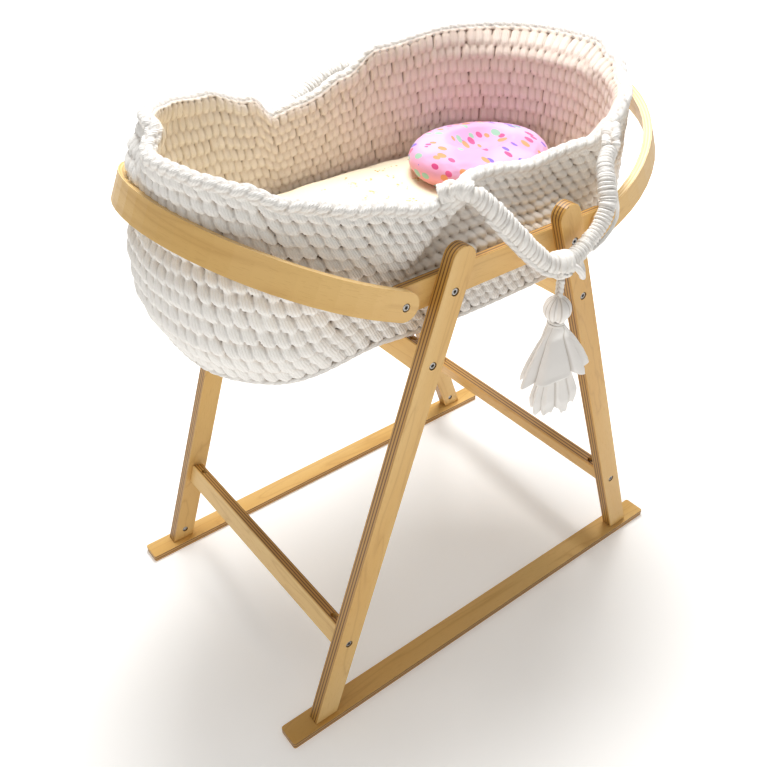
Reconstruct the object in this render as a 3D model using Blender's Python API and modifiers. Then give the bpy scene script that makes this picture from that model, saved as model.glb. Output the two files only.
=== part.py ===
# Crocheted Moses basket on a folding plywood stand.
# Metres, +Z up. +X runs along the base rails towards the head end, -Y is the near side.
# The design is drawn about the middle of the stand; at the end everything moves by
# ORIGIN_SHIFT, which puts the origin on the floor under the middle of the whole outline.
import math

import bmesh
import bpy
from mathutils import Euler, Matrix, Vector

# ---- driving dimensions ----
PART_GAP = 0.0003          # air between two pieces that touch
ORIGIN_SHIFT = (-0.005, 0.020, 0.0)

RAIL_LENGTH = 0.800
RAIL_WIDTH = 0.038
RAIL_THICK = 0.012
RAIL_CENTRE_Y = 0.237
RAIL_CORNER = 0.004

LEG_LEAN = math.radians(19.1)
LEG_WIDTH = 0.037
LEG_THICK = 0.020
LEG_OUTER_Y = 0.249
LEG_FOOT_X = 0.336         # leg axis where it meets the rail
LEG_TOP_Z = 0.7165         # centre of the rounded top

BAR_HEIGHT = 0.034
BAR_THICK = 0.020
LOWER_BAR_Z = 0.152
BED_BAR_Z = 0.583

PLATE_Z = 0.678
PLATE_HEIGHT = 0.040
PLATE_THICK = 0.012
PLATE_HALF_LENGTH = 0.195

HOOP_PIVOT_X = 0.1745
HOOP_HEIGHT = 0.039
HOOP_THICK = 0.012
HOOP_TILT = math.radians(25.5)
HOOP_STRAIGHT = 0.026      # straight run past the pivot, clear of the side plate
HOOP_REACH = {"foot": 0.225, "head": 0.240}   # pivot to the inner face at the far end
HOOP_TAIL = HOOP_HEIGHT / 2 + 0.004           # strip left past the pivot before its end is rounded
HOOP_SPARE = 0.005         # spare height on each edge of the strip before its side shape is cut

BOLT_HEAD_RADIUS = 0.0050
BOLT_HEAD_HEIGHT = 0.0055
BOLT_RADIUS = 0.0030
BOLT_HOLE_RADIUS = 0.0034
COUNTERBORE_RADIUS = 0.0060
SOCKET_RADIUS = 0.0027
NUT_RADIUS = 0.0050
NUT_LENGTH = 0.016
NUT_INSET = 0.026          # bar end to the middle of its barrel nut
NUT_BORE_RISE = 0.006      # a nut's bore runs this far on past it, to the open side
RAIL_NUT_Z = 0.032
HEAD_CHAMFER = 0.0006
HEAD_ROOM = 0.020          # counterbore length, well past the outer face
HOLE_SPARE = 0.010         # hole length past a bolt's end
HEAD_SEAT = BOLT_HEAD_HEIGHT + 0.0010         # a head sits 1 mm below the leg's face
HOOP_SEAT = 0.0060
RAIL_SEAT = 0.0065
LONG_BOLT_TAIL = 0.008     # bolt left past the middle of its barrel nut
RAIL_BOLT_TAIL = 0.006
PANEL_BOLT_GRIP = 0.010    # thread in a plate or a hoop's plate
PLATE_SKIN = 0.0012        # wood left behind a blind hole in a side plate
BAR_BORE_TAIL = 0.012
WOOD_EDGE = 0.0012         # sanded edges

BASKET_HALF_LENGTH = 0.364
BASKET_HALF_WIDTH = 0.2115
BASKET_SQUARENESS = 2.6
BASKET_BOTTOM_Z = 0.6032
BASKET_WALL = 0.016
BASKET_FLOOR = 0.014
BASKET_CORNER = 0.022
FLARE_START_Z = 0.800
FLARE_RISE = 0.050
HEAD_FLARE = 0.034         # the head end leans out above the hoop
RIM_HEIGHTS = {            # degrees round the plan, head end at 0, far side at 90
    0: 0.845, 52: 0.847, 76: 0.834, 85: 0.803, 92: 0.778, 98: 0.771, 103: 0.808,
    117: 0.844, 135: 0.858, 150: 0.866, 163: 0.874, 171: 0.872, 181: 0.846, 192: 0.846,
    204: 0.840, 213: 0.834, 226: 0.815, 245: 0.795, 257: 0.780, 270: 0.778, 281: 0.764,
    297: 0.774, 306: 0.797, 317: 0.813, 335: 0.815, 350: 0.832, 360: 0.845,
}

BOARD_THICK = 0.004
MATTRESS_THICK = 0.040
MATTRESS_EDGE = 0.008
MATTRESS_BOTTOM_Z = BASKET_BOTTOM_Z + BASKET_FLOOR + BOARD_THICK + 2 * PART_GAP
MATTRESS_TOP_Z = MATTRESS_BOTTOM_Z + MATTRESS_THICK
BED_CLEARANCE = 0.004
PILLOW_CENTRE = (0.201, 0.044)
PILLOW_RADII = (0.122, 0.112)
PILLOW_TUBE = 0.025
PILLOW_DIMPLE_Z = 0.0475

HANDLE_RADIUS = 0.0115
NEAR_HANDLE_ROUTE = [
    (-0.066, -0.2265, 0.790), (-0.050, -0.2350, 0.772), (-0.033, -0.2450, 0.752),
    (-0.014, -0.2560, 0.727), (0.006, -0.2640, 0.703), (0.028, -0.2700, 0.682),
    (0.052, -0.2720, 0.671), (0.078, -0.2715, 0.673), (0.105, -0.2690, 0.684),
    (0.130, -0.2660, 0.700), (0.148, -0.2600, 0.722), (0.158, -0.2450, 0.744),
    (0.176, -0.2250, 0.761), (0.200, -0.2115, 0.772),
]
FAR_HANDLE_ROUTE = [
    (-0.060, 0.2275, 0.757), (-0.030, 0.2400, 0.760), (0.000, 0.2470, 0.769),
    (0.040, 0.2510, 0.785), (0.080, 0.2530, 0.796), (0.120, 0.2520, 0.794),
    (0.155, 0.2450, 0.786), (0.182, 0.2300, 0.777), (0.200, 0.2115, 0.770),
]

# The tassel hangs from TASSEL_TOP, and its heights are drops below that point.
TASSEL_TOP = (0.052, -0.277, 0.6520)
TASSEL_LOOP_RADIUS = 0.0050
TASSEL_HEAD_DROP = 0.0440
TASSEL_HEAD_RADIUS = 0.0185
UPPER_SKIRT = [(0.0, 0.0655), (0.011, 0.0655), (0.024, 0.085), (0.040, 0.112),
               (0.055, 0.138), (0.058, 0.150), (0.043, 0.148), (0.0, 0.146)]
LOWER_SKIRT = [(0.0, 0.1465), (0.037, 0.149), (0.043, 0.190), (0.038, 0.208), (0.0, 0.205)]
SKIRT_FLATNESS = 0.46      # the skirts hang flat, so that they pass the legs' tops

ROUND_STEPS = 12
WOOD = ((0.68, 0.45, 0.19, 1.0), 0.45, 0.0)
STEEL = ((0.60, 0.61, 0.62, 1.0), 0.30, 1.0)
YARN = ((0.89, 0.87, 0.84, 1.0), 0.90, 0.0)
COTTON = ((0.93, 0.86, 0.72, 1.0), 0.90, 0.0)
PINK = ((0.90, 0.55, 0.68, 1.0), 0.85, 0.0)

LEG_INNER_Y = LEG_OUTER_Y - LEG_THICK
PLATE_OUTER_Y = LEG_INNER_Y - PART_GAP
NEAR, FAR = -1, 1
FOOT, HEAD = -1, 1
SIDES = (("near", NEAR), ("far", FAR))
ENDS = (("foot", FOOT), ("head", HEAD))


# ---- scene, collections and materials ----
for old in list(bpy.data.objects):
    bpy.data.objects.remove(old, do_unlink=True)


def new_collection(name):
    collection = bpy.data.collections.new(name)
    bpy.context.scene.collection.children.link(collection)
    return collection


parts = new_collection("bassinet_on_stand")
cutters = new_collection("cutters")


def make_material(name, look):
    colour, roughness, metallic = look
    material = bpy.data.materials.new(name)
    material.use_nodes = True
    shader = material.node_tree.nodes["Principled BSDF"]
    shader.inputs["Base Color"].default_value = colour
    shader.inputs["Roughness"].default_value = roughness
    shader.inputs["Metallic"].default_value = metallic
    material.diffuse_color = colour
    return material


wood = make_material("birch_plywood", WOOD)
steel = make_material("zinc_steel", STEEL)
yarn = make_material("cotton_yarn", YARN)
cotton = make_material("printed_cotton", COTTON)
pink = make_material("pink_cotton", PINK)


# ---- modelling helpers ----
def add_object(name, data, material=None, collection=parts):
    obj = bpy.data.objects.new(name, data)
    collection.objects.link(obj)
    if material:
        data.materials.append(material)
    return obj


def add_cutter(name, data):
    obj = add_object(name, data, collection=cutters)
    obj.hide_render = True
    obj.display_type = "WIRE"
    return obj


def cut(obj, cutter, operation="DIFFERENCE"):
    modifier = obj.modifiers.new(cutter.name, "BOOLEAN")
    modifier.operation = operation
    modifier.object = cutter
    modifier.solver = "EXACT"


def box_mesh(name, size):
    mesh = bpy.data.meshes.new(name)
    bm = bmesh.new()
    bmesh.ops.create_cube(bm, size=1.0, matrix=Matrix.Diagonal((*size, 1.0)))
    bm.to_mesh(mesh)
    bm.free()
    return mesh


def cylinder_mesh(name, radius, depth, segments=ROUND_STEPS):
    mesh = bpy.data.meshes.new(name)
    bm = bmesh.new()
    bmesh.ops.create_cone(bm, cap_ends=True, segments=segments, radius1=radius,
                          radius2=radius, depth=depth)
    bm.to_mesh(mesh)
    bm.free()
    return mesh


def soften(obj, width=WOOD_EDGE):
    bevel = obj.modifiers.new("edge", "BEVEL")
    bevel.width = width
    bevel.segments = 1
    bevel.limit_method = "ANGLE"
    bevel.angle_limit = math.radians(50)


def shade_round(mesh):
    mesh.shade_smooth()
    mesh.set_sharp_from_angle(angle=math.radians(40))


def turned_mesh(name, profile, steps=ROUND_STEPS):
    """A profile of (radius, height) points, top to bottom, turned about Z."""
    mesh = bpy.data.meshes.new(name)
    mesh.from_pydata([(r, 0.0, z) for r, z in profile],
                     [(i, i + 1) for i in range(len(profile) - 1)], [])
    obj = bpy.data.objects.new(name, mesh)
    parts.objects.link(obj)
    screw = obj.modifiers.new("turn", "SCREW")
    screw.steps = steps
    screw.render_steps = steps
    screw.use_merge_vertices = True
    screw.merge_threshold = 0.00001
    turned = mesh_of(obj, name)
    bpy.data.objects.remove(obj, do_unlink=True)
    return turned


def mesh_of(obj, name):
    """The evaluated mesh of an object, with its loose caps welded."""
    depsgraph = bpy.context.evaluated_depsgraph_get()
    mesh = bpy.data.meshes.new_from_object(obj.evaluated_get(depsgraph))
    mesh.name = name
    bm = bmesh.new()
    bm.from_mesh(mesh)
    bmesh.ops.remove_doubles(bm, verts=bm.verts, dist=0.000005)
    bm.to_mesh(mesh)
    bm.free()
    return mesh


def outline_mesh(name, points, thickness):
    """A flat closed outline in X and Y, thickened evenly about Z = 0."""
    curve = bpy.data.curves.new(name, "CURVE")
    curve.dimensions = "2D"
    curve.fill_mode = "BOTH"
    curve.extrude = thickness / 2
    spline = curve.splines.new("POLY")
    spline.points.add(len(points) - 1)
    for point, (x, y) in zip(spline.points, points):
        point.co = (x, y, 0.0, 1.0)
    spline.use_cyclic_u = True
    obj = bpy.data.objects.new(name, curve)
    parts.objects.link(obj)
    bpy.context.view_layer.update()
    mesh = mesh_of(obj, name)
    bpy.data.objects.remove(obj, do_unlink=True)
    return mesh


def tube_object(name, points, radius, material):
    """A capped tube through the points, with its own origin at the first of them."""
    curve = bpy.data.curves.new(name, "CURVE")
    curve.dimensions = "3D"
    curve.bevel_depth = radius
    curve.bevel_resolution = 2
    curve.use_fill_caps = True
    curve.render_resolution_u = 0
    spline = curve.splines.new("POLY")
    spline.points.add(len(points) - 1)
    for point, place in zip(spline.points, points):
        point.co = (*(place - points[0]), 1.0)
    obj = add_object(name, curve, material)
    obj.location = points[0]
    return obj


def arc(centre, radius, start, end, steps):
    """Points of an arc in a plane, angles in degrees."""
    points = []
    for i in range(steps + 1):
        angle = math.radians(start + (end - start) * i / steps)
        points.append((centre[0] + radius * math.cos(angle),
                       centre[1] + radius * math.sin(angle)))
    return points


def smooth_route(points, per_span):
    """Catmull-Rom points through a hand-placed route."""
    places = [Vector(p) for p in points]
    places = [2 * places[0] - places[1]] + places + [2 * places[-1] - places[-2]]
    route = []
    for a, b, c, d in zip(places, places[1:], places[2:], places[3:]):
        for i in range(per_span):
            t = i / per_span
            route.append(0.5 * (2 * b + (c - a) * t + (2 * a - 5 * b + 4 * c - d) * t ** 2
                                + (3 * b - a - 3 * c + d) * t ** 3))
    route.append(places[-2])
    return route


# Upright outlines are drawn in X and Y and stood up, so their Y becomes Z.
STAND_UP = Euler((math.radians(90), 0, 0))
POINT_OUT = {NEAR: Euler((math.radians(90), 0, 0)), FAR: Euler((math.radians(-90), 0, 0))}


def leg_axis_x(z):
    return LEG_FOOT_X - (z - RAIL_THICK) * math.tan(LEG_LEAN)


# ---- bolts and barrel nuts ----
def bolt_mesh(name, shank_length):
    """Cap-head bolt, underside of its head at Z = 0, head upwards."""
    return turned_mesh(name, [
        (0.0, BOLT_HEAD_HEIGHT), (BOLT_HEAD_RADIUS - HEAD_CHAMFER, BOLT_HEAD_HEIGHT),
        (BOLT_HEAD_RADIUS, BOLT_HEAD_HEIGHT - HEAD_CHAMFER), (BOLT_HEAD_RADIUS, 0.0),
        (BOLT_RADIUS, 0.0), (BOLT_RADIUS, -shank_length), (0.0, -shank_length)])


def bolt_hole_mesh(name, depth):
    """Counterbored hole for a bolt whose head seats at Z = 0."""
    return turned_mesh(name, [
        (0.0, HEAD_ROOM), (COUNTERBORE_RADIUS, HEAD_ROOM), (COUNTERBORE_RADIUS, -PART_GAP),
        (BOLT_HOLE_RADIUS, -PART_GAP), (BOLT_HOLE_RADIUS, -depth), (0.0, -depth)])


def place_bolt(name, mesh, location, rotation):
    bolt = add_object(name, mesh, steel)
    bolt.location = location
    bolt.rotation_euler = rotation
    socket = add_cutter(name + "_socket", socket_mesh)
    socket.matrix_world = bolt_matrix(location, rotation) @ Matrix.Translation(
        (0, 0, BOLT_HEAD_HEIGHT))
    cut(bolt, socket)
    shade_round(mesh)
    return bolt


def bolt_matrix(location, rotation):
    return Matrix.Translation(location) @ rotation.to_matrix().to_4x4()


def drill(obj, name, mesh, location, rotation):
    hole = add_cutter(name, mesh)
    hole.matrix_world = bolt_matrix(location, rotation)
    cut(obj, hole)


socket_mesh = cylinder_mesh("hex_socket", SOCKET_RADIUS, BOLT_HEAD_HEIGHT, segments=6)
long_bolt = bolt_mesh("long_bolt", LEG_THICK - HEAD_SEAT + NUT_INSET + LONG_BOLT_TAIL)
plate_bolt = bolt_mesh("plate_bolt", LEG_THICK - HEAD_SEAT + PANEL_BOLT_GRIP)
hoop_bolt = bolt_mesh("hoop_bolt", HOOP_THICK - HOOP_SEAT + PANEL_BOLT_GRIP)
rail_bolt = bolt_mesh("rail_bolt", RAIL_NUT_Z - RAIL_SEAT + RAIL_BOLT_TAIL)
leg_hole = bolt_hole_mesh("leg_hole", LEG_THICK - HEAD_SEAT + NUT_INSET + HOLE_SPARE)
plate_hole = bolt_hole_mesh("plate_hole", LEG_THICK - HEAD_SEAT + PLATE_THICK - PLATE_SKIN)
hoop_hole = bolt_hole_mesh("hoop_hole", HOOP_THICK + HOLE_SPARE)
rail_hole = bolt_hole_mesh("rail_hole", RAIL_NUT_Z + RAIL_BOLT_TAIL)
plate_hoop_hole = cylinder_mesh("plate_hoop_hole", BOLT_HOLE_RADIUS, 2 * (PLATE_THICK - PLATE_SKIN))
bar_bore = cylinder_mesh("bar_bore", BOLT_HOLE_RADIUS, 2 * (NUT_INSET + BAR_BORE_TAIL))
nut_bore = cylinder_mesh("nut_bore", NUT_RADIUS + PART_GAP, NUT_LENGTH + 2 * NUT_BORE_RISE)


def barrel_nut(name, location, rotation, bore_rotation):
    """Barrel nut along its own Z, crossed by the bolt's clearance hole."""
    nut = add_object(name, cylinder_mesh(name, NUT_RADIUS, NUT_LENGTH), steel)
    nut.location = location
    nut.rotation_euler = rotation
    shade_round(nut.data)
    drill(nut, name + "_bore", bar_bore, location, bore_rotation)


# ---- base rails ----
def base_rail(name, side):
    half = RAIL_LENGTH / 2
    edge = RAIL_WIDTH / 2
    corner = RAIL_CORNER
    outline = (arc((half - corner, edge - corner), corner, 90, 0, 3)
               + arc((half - corner, corner - edge), corner, 0, -90, 3)
               + arc((corner - half, corner - edge), corner, -90, -180, 3)
               + arc((corner - half, edge - corner), corner, 180, 90, 3))
    rail = add_object(name, outline_mesh(name, outline, RAIL_THICK), wood)
    rail.location = (0, side * RAIL_CENTRE_Y, RAIL_THICK / 2)
    soften(rail)
    return rail


# ---- legs ----
def leg(name, side, end):
    """Leaning upright with a level foot and a round top, along its own axis."""
    half = LEG_WIDTH / 2
    length = (LEG_TOP_Z - RAIL_THICK) / math.cos(LEG_LEAN)
    rise = half * math.tan(LEG_LEAN)
    foot_gap = PART_GAP / math.cos(LEG_LEAN)
    outline = ([(-half, rise + foot_gap), (half, -rise + foot_gap)]
               + arc((0, length), half, 0, 180, 10))
    if end == FOOT:
        outline = [(-x, y) for x, y in reversed(outline)]
    obj = add_object(name, outline_mesh(name, outline, LEG_THICK), wood)
    obj.location = (end * LEG_FOOT_X, side * (LEG_OUTER_Y - LEG_THICK / 2), RAIL_THICK)
    lean = Matrix.Rotation(-end * LEG_LEAN, 4, "Y") @ STAND_UP.to_matrix().to_4x4()
    obj.rotation_euler = lean.to_euler()
    soften(obj)
    for label, z in (("lower", LOWER_BAR_Z), ("bed", BED_BAR_Z), ("plate", PLATE_Z)):
        place = (end * leg_axis_x(z), side * (LEG_OUTER_Y - HEAD_SEAT), z)
        drill(obj, f"{name}_{label}_hole", leg_hole, place, POINT_OUT[side])
    return obj


# ---- bars that tie the two sides together ----
def cross_bar(name, end, z):
    half = LEG_INNER_Y - PART_GAP
    bar = add_object(name, box_mesh(name, (BAR_THICK, 2 * half, BAR_HEIGHT)), wood)
    centre = Vector((end * leg_axis_x(z), 0, z))
    lean = Euler((0, -end * LEG_LEAN, 0))
    bar.location = centre
    bar.rotation_euler = lean
    soften(bar)
    return bar, centre, lean


def fix_bar(label, bar, centre, lean, end_name):
    """Bolt each end of a bar to its leg through a barrel nut set in from the top."""
    for side_name, side in SIDES:
        bolt_end = (centre.x, side * (LEG_OUTER_Y - HEAD_SEAT), centre.z)
        place_bolt(f"{label}_bolt_{end_name}_{side_name}", long_bolt.copy(), bolt_end,
                   POINT_OUT[side])
        bar_end = (centre.x, side * LEG_INNER_Y, centre.z)
        drill(bar, f"{label}_bore_{end_name}_{side_name}", bar_bore, bar_end, POINT_OUT[side])
        middle = Vector((centre.x, side * (LEG_INNER_Y - NUT_INSET), centre.z))
        drill(bar, f"{label}_nut_bore_{end_name}_{side_name}", nut_bore,
              middle + lean.to_matrix() @ Vector((0, 0, NUT_BORE_RISE)), lean)
        barrel_nut(f"{label}_nut_{end_name}_{side_name}", middle, lean, POINT_OUT[side])


# ---- side plates ----
def side_plate(name, side):
    half = PLATE_HEIGHT / 2
    reach = PLATE_HALF_LENGTH - half
    outline = arc((reach, 0), half, 90, -90, 10) + arc((-reach, 0), half, -90, -270, 10)
    plate = add_object(name, outline_mesh(name, outline, PLATE_THICK), wood)
    plate.location = (0, side * (PLATE_OUTER_Y - PLATE_THICK / 2), PLATE_Z)
    plate.rotation_euler = STAND_UP
    soften(plate)
    return plate


# ---- bentwood hoops ----
def hoop(name, end, reach):
    """Bent strip, straight by its pivots and then half an ellipse in plan."""
    steps = 28
    inner_half = LEG_INNER_Y
    outline = []
    for offset, order in ((HOOP_THICK, 1), (0.0, -1)):
        bow = reach + offset - HOOP_STRAIGHT
        side_run = [(end * (HOOP_STRAIGHT + bow * math.sin(math.pi * i / steps)),
                     -(inner_half + offset) * math.cos(math.pi * i / steps))
                    for i in range(steps + 1)]
        run = ([(-end * HOOP_TAIL, -(inner_half + offset))] + side_run
               + [(-end * HOOP_TAIL, inner_half + offset)])
        outline += run[::order]
    band = outline_mesh(name, outline, HOOP_HEIGHT + 2 * HOOP_SPARE)
    strip = add_object(name, band, wood)
    half = HOOP_HEIGHT / 2
    past_end = reach + 2 * HOOP_THICK
    profile = [(past_end, half)] + arc((0, 0), half, 90, 270, 12) + [(past_end, -half)]
    profile = [(end * x, y) for x, y in profile]
    side_shape = add_cutter(name + "_side_shape",
                            outline_mesh(name + "_side_shape", profile, 3 * inner_half))
    tilt = Euler((0, -end * HOOP_TILT, 0))
    pivot = Vector((end * HOOP_PIVOT_X, 0, PLATE_Z))
    strip.location = pivot
    strip.rotation_euler = tilt
    side_shape.matrix_world = (bolt_matrix(pivot, tilt) @ STAND_UP.to_matrix().to_4x4())
    cut(strip, side_shape, "INTERSECT")
    for side_name, side in SIDES:
        seat = (pivot.x, side * (LEG_INNER_Y + HOOP_THICK - HOOP_SEAT), pivot.z)
        drill(strip, f"{name}_hole_{side_name}", hoop_hole, seat, POINT_OUT[side])
        place_bolt(f"{name}_bolt_{side_name}", hoop_bolt.copy(), seat, POINT_OUT[side])
    shade_round(band)
    return strip


# ---- basket ----
def plan_point(degrees, inset):
    """Point on the basket's rounded-oblong plan, moved in by inset."""
    angle = math.radians(degrees)
    power = 2 / BASKET_SQUARENESS
    c, s = math.cos(angle), math.sin(angle)
    x = math.copysign(abs(c) ** power, c) * (BASKET_HALF_LENGTH - inset)
    y = math.copysign(abs(s) ** power, s) * (BASKET_HALF_WIDTH - inset)
    return x, y


def rim_height(degrees):
    """Rim height round the plan, eased from one station to the next."""
    stations = sorted(RIM_HEIGHTS)
    for low, high in zip(stations, stations[1:]):
        if low <= degrees <= high:
            t = (degrees - low) / (high - low)
            ease = t * t * (3 - 2 * t)
            return RIM_HEIGHTS[low] + (RIM_HEIGHTS[high] - RIM_HEIGHTS[low]) * ease
    return RIM_HEIGHTS[0]


def flare(degrees, z):
    """How far the head end leans out above its hoop."""
    t = min(max((z - FLARE_START_Z) / FLARE_RISE, 0.0), 1.0)
    toward_head = max(math.cos(math.radians(degrees)), 0.0)
    return HEAD_FLARE * toward_head ** 2 * t * t * (3 - 2 * t)


def basket_shell():
    """One closed loft: under the floor, up the outside, over the rim, down the inside."""
    around = 52
    rows = 5
    bm = bmesh.new()

    def ring(inset, height):
        loop = []
        for i in range(around):
            degrees = 360 * i / around
            z = height(degrees)
            x, y = plan_point(degrees, inset - flare(degrees, z))
            loop.append(bm.verts.new((x, y, z)))
        return loop

    rings = []
    for step in range(4):
        angle = math.radians(30 * step)
        inset = BASKET_CORNER * (1 - math.sin(angle))
        z = BASKET_BOTTOM_Z + BASKET_CORNER * (1 - math.cos(angle))
        rings.append(ring(inset, lambda degrees, z=z: z))
    low = BASKET_BOTTOM_Z + BASKET_CORNER
    for step in range(1, rows + 1):
        share = step / rows
        rings.append(ring(0.0, lambda degrees, k=share: low + (rim_height(degrees) - low) * k))
    for step in range(rows, 0, -1):
        share = step / rows
        rings.append(ring(BASKET_WALL,
                          lambda degrees, k=share: low + (rim_height(degrees) - low) * k))
    floor_z = BASKET_BOTTOM_Z + BASKET_FLOOR
    rings.append(ring(BASKET_WALL, lambda degrees: floor_z))
    for lower, upper in zip(rings, rings[1:]):
        for i in range(around):
            j = (i + 1) % around
            bm.faces.new((lower[i], lower[j], upper[j], upper[i]))
    bm.faces.new(list(reversed(rings[0])))
    bm.faces.new(rings[-1])
    mesh = bpy.data.meshes.new("basket_shell")
    bm.to_mesh(mesh)
    bm.free()
    shade_round(mesh)
    return add_object("basket_shell", mesh, yarn)


# ---- what lies in the basket ----
def bed_outline(inset):
    return [plan_point(360 * i / 40, inset) for i in range(40)]


def base_board():
    inset = BASKET_WALL + 2 * BED_CLEARANCE
    board = add_object("base_board", outline_mesh("base_board", bed_outline(inset), BOARD_THICK),
                       wood)
    board.location.z = BASKET_BOTTOM_Z + BASKET_FLOOR + PART_GAP + BOARD_THICK / 2
    return board


def mattress():
    inset = BASKET_WALL + BED_CLEARANCE
    pad = add_object("mattress", outline_mesh("mattress", bed_outline(inset), MATTRESS_THICK),
                     cotton)
    pad.location.z = MATTRESS_BOTTOM_Z + MATTRESS_THICK / 2
    soften(pad, MATTRESS_EDGE)
    return pad


def pillow():
    """Flat round pillow with a dimple, turned and stretched a little along X."""
    tube = PILLOW_TUBE
    ring = PILLOW_RADII[0] - tube
    profile = [(0.0, PILLOW_DIMPLE_Z)]
    profile += [(ring + tube * math.cos(math.radians(a)), tube + tube * math.sin(math.radians(a)))
                for a in (110, 80, 50, 20, -10, -45, -85)]
    profile += [(0.0, PART_GAP)]
    mesh = turned_mesh("pillow", profile, steps=24)
    mesh.transform(Matrix.Diagonal((1.0, PILLOW_RADII[1] / PILLOW_RADII[0], 1.0, 1.0)))
    shade_round(mesh)
    obj = add_object("pillow", mesh, pink)
    obj.location = (*PILLOW_CENTRE, MATTRESS_TOP_Z + PART_GAP)
    return obj


# ---- tassel ----
def tassel():
    """A knotted neck, a bound ball head and two tiers of cloth skirt, one under the other."""
    head_top = TASSEL_HEAD_DROP - TASSEL_HEAD_RADIUS
    pieces = {
        "tassel_neck": [(0.0, 0.0), (TASSEL_LOOP_RADIUS, 0.0),
                        (TASSEL_LOOP_RADIUS, head_top - PART_GAP), (0.0, head_top - PART_GAP)],
        "tassel_head": [(0.0, head_top)]
        + [(TASSEL_HEAD_RADIUS * math.sin(math.radians(a)),
            TASSEL_HEAD_DROP - TASSEL_HEAD_RADIUS * math.cos(math.radians(a)))
           for a in range(22, 150, 21)]
        + [(0.0, UPPER_SKIRT[0][1] - PART_GAP)],
        "tassel_skirt_upper": UPPER_SKIRT,
        "tassel_skirt_lower": LOWER_SKIRT,
    }
    for name, profile in pieces.items():
        mesh = turned_mesh(name, [(radius, -drop) for radius, drop in profile])
        if "skirt" in name:
            mesh.transform(Matrix.Diagonal((1.0, SKIRT_FLATNESS, 1.0, 1.0)))
        shade_round(mesh)
        add_object(name, mesh, yarn).location = TASSEL_TOP


# ---- build ----
rails = {side: base_rail(f"base_rail_{side_name}", side) for side_name, side in SIDES}
for end_name, end in ENDS:
    low_bar = cross_bar(f"lower_bar_{end_name}", end, LOWER_BAR_Z)
    fix_bar("lower_bar", *low_bar, end_name)
    bed_bar = cross_bar(f"bed_bar_{end_name}", end, BED_BAR_Z)
    fix_bar("bed_bar", *bed_bar, end_name)
    for side_name, side in SIDES:
        name = f"leg_{end_name}_{side_name}"
        upright = leg(name, side, end)
        nut_x = end * leg_axis_x(RAIL_NUT_Z)
        nut_y = side * (LEG_OUTER_Y - LEG_THICK / 2)
        upward = Euler((math.pi, 0, 0))
        seat = (nut_x, nut_y, RAIL_SEAT)
        drill(rails[side], name + "_rail_hole", rail_hole, seat, upward)
        drill(upright, name + "_foot_hole", rail_hole, seat, upward)
        drill(upright, name + "_foot_nut_bore", nut_bore,
              (nut_x, nut_y - side * NUT_BORE_RISE, RAIL_NUT_Z), POINT_OUT[side])
        place_bolt(f"rail_bolt_{end_name}_{side_name}", rail_bolt.copy(), seat, upward)
        barrel_nut(f"rail_nut_{end_name}_{side_name}", (nut_x, nut_y, RAIL_NUT_Z),
                   POINT_OUT[side], upward)

for side_name, side in SIDES:
    plate = side_plate(f"side_plate_{side_name}", side)
    for end_name, end in ENDS:
        leg_seat = (end * leg_axis_x(PLATE_Z), side * (LEG_OUTER_Y - HEAD_SEAT), PLATE_Z)
        drill(plate, f"{plate.name}_leg_hole_{end_name}", plate_hole, leg_seat, POINT_OUT[side])
        place_bolt(f"plate_bolt_{end_name}_{side_name}", plate_bolt.copy(), leg_seat,
                   POINT_OUT[side])
        pivot = (end * HOOP_PIVOT_X, side * PLATE_OUTER_Y, PLATE_Z)
        drill(plate, f"{plate.name}_hoop_hole_{end_name}", plate_hoop_hole, pivot,
              POINT_OUT[side])

for end_name, end in ENDS:
    hoop(f"hoop_{end_name}", end, HOOP_REACH[end_name])

basket_shell()
base_board()
mattress()
pillow()
tube_object("handle_near", smooth_route(NEAR_HANDLE_ROUTE, 2), HANDLE_RADIUS, yarn)
tube_object("handle_far", smooth_route(FAR_HANDLE_ROUTE, 3), HANDLE_RADIUS, yarn)
tassel()

for obj in [*parts.objects, *cutters.objects]:
    obj.location += Vector(ORIGIN_SHIFT)
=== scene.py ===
import math

import bmesh
import bpy
import numpy as np
from mathutils import Matrix, Vector


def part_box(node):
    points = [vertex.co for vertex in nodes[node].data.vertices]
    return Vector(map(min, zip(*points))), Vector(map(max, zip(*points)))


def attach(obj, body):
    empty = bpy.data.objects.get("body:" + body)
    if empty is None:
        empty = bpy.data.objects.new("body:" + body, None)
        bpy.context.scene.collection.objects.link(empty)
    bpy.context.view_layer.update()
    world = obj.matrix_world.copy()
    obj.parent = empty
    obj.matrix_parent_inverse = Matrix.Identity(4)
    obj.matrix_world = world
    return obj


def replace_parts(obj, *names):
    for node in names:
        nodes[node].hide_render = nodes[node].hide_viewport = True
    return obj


# crocheted basket on a folding birch stand: the looks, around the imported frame
# +X is the head end, -Y the near side, everything in metres
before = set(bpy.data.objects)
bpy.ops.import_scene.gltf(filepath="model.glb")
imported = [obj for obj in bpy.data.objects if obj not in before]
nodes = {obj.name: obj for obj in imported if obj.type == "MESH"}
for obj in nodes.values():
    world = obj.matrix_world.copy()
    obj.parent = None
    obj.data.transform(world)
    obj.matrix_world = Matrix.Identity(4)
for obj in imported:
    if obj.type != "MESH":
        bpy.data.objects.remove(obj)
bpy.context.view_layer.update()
print("frame loaded,", len(nodes), "nodes")


# small helpers
def rgb(hexColour):
    # sRGB hex to linear, alpha 1
    values = [int(hexColour[i:i + 2], 16) / 255 for i in (1, 3, 5)]
    return tuple(v / 12.92 if v <= 0.04045 else ((v + 0.055) / 1.055) ** 2.4 for v in values) + (1.0,)


def ease(x, low, high):
    t = np.clip((np.asarray(x, float) - low) / (high - low), 0, 1)
    return t * t * (3 - 2 * t)


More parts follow.
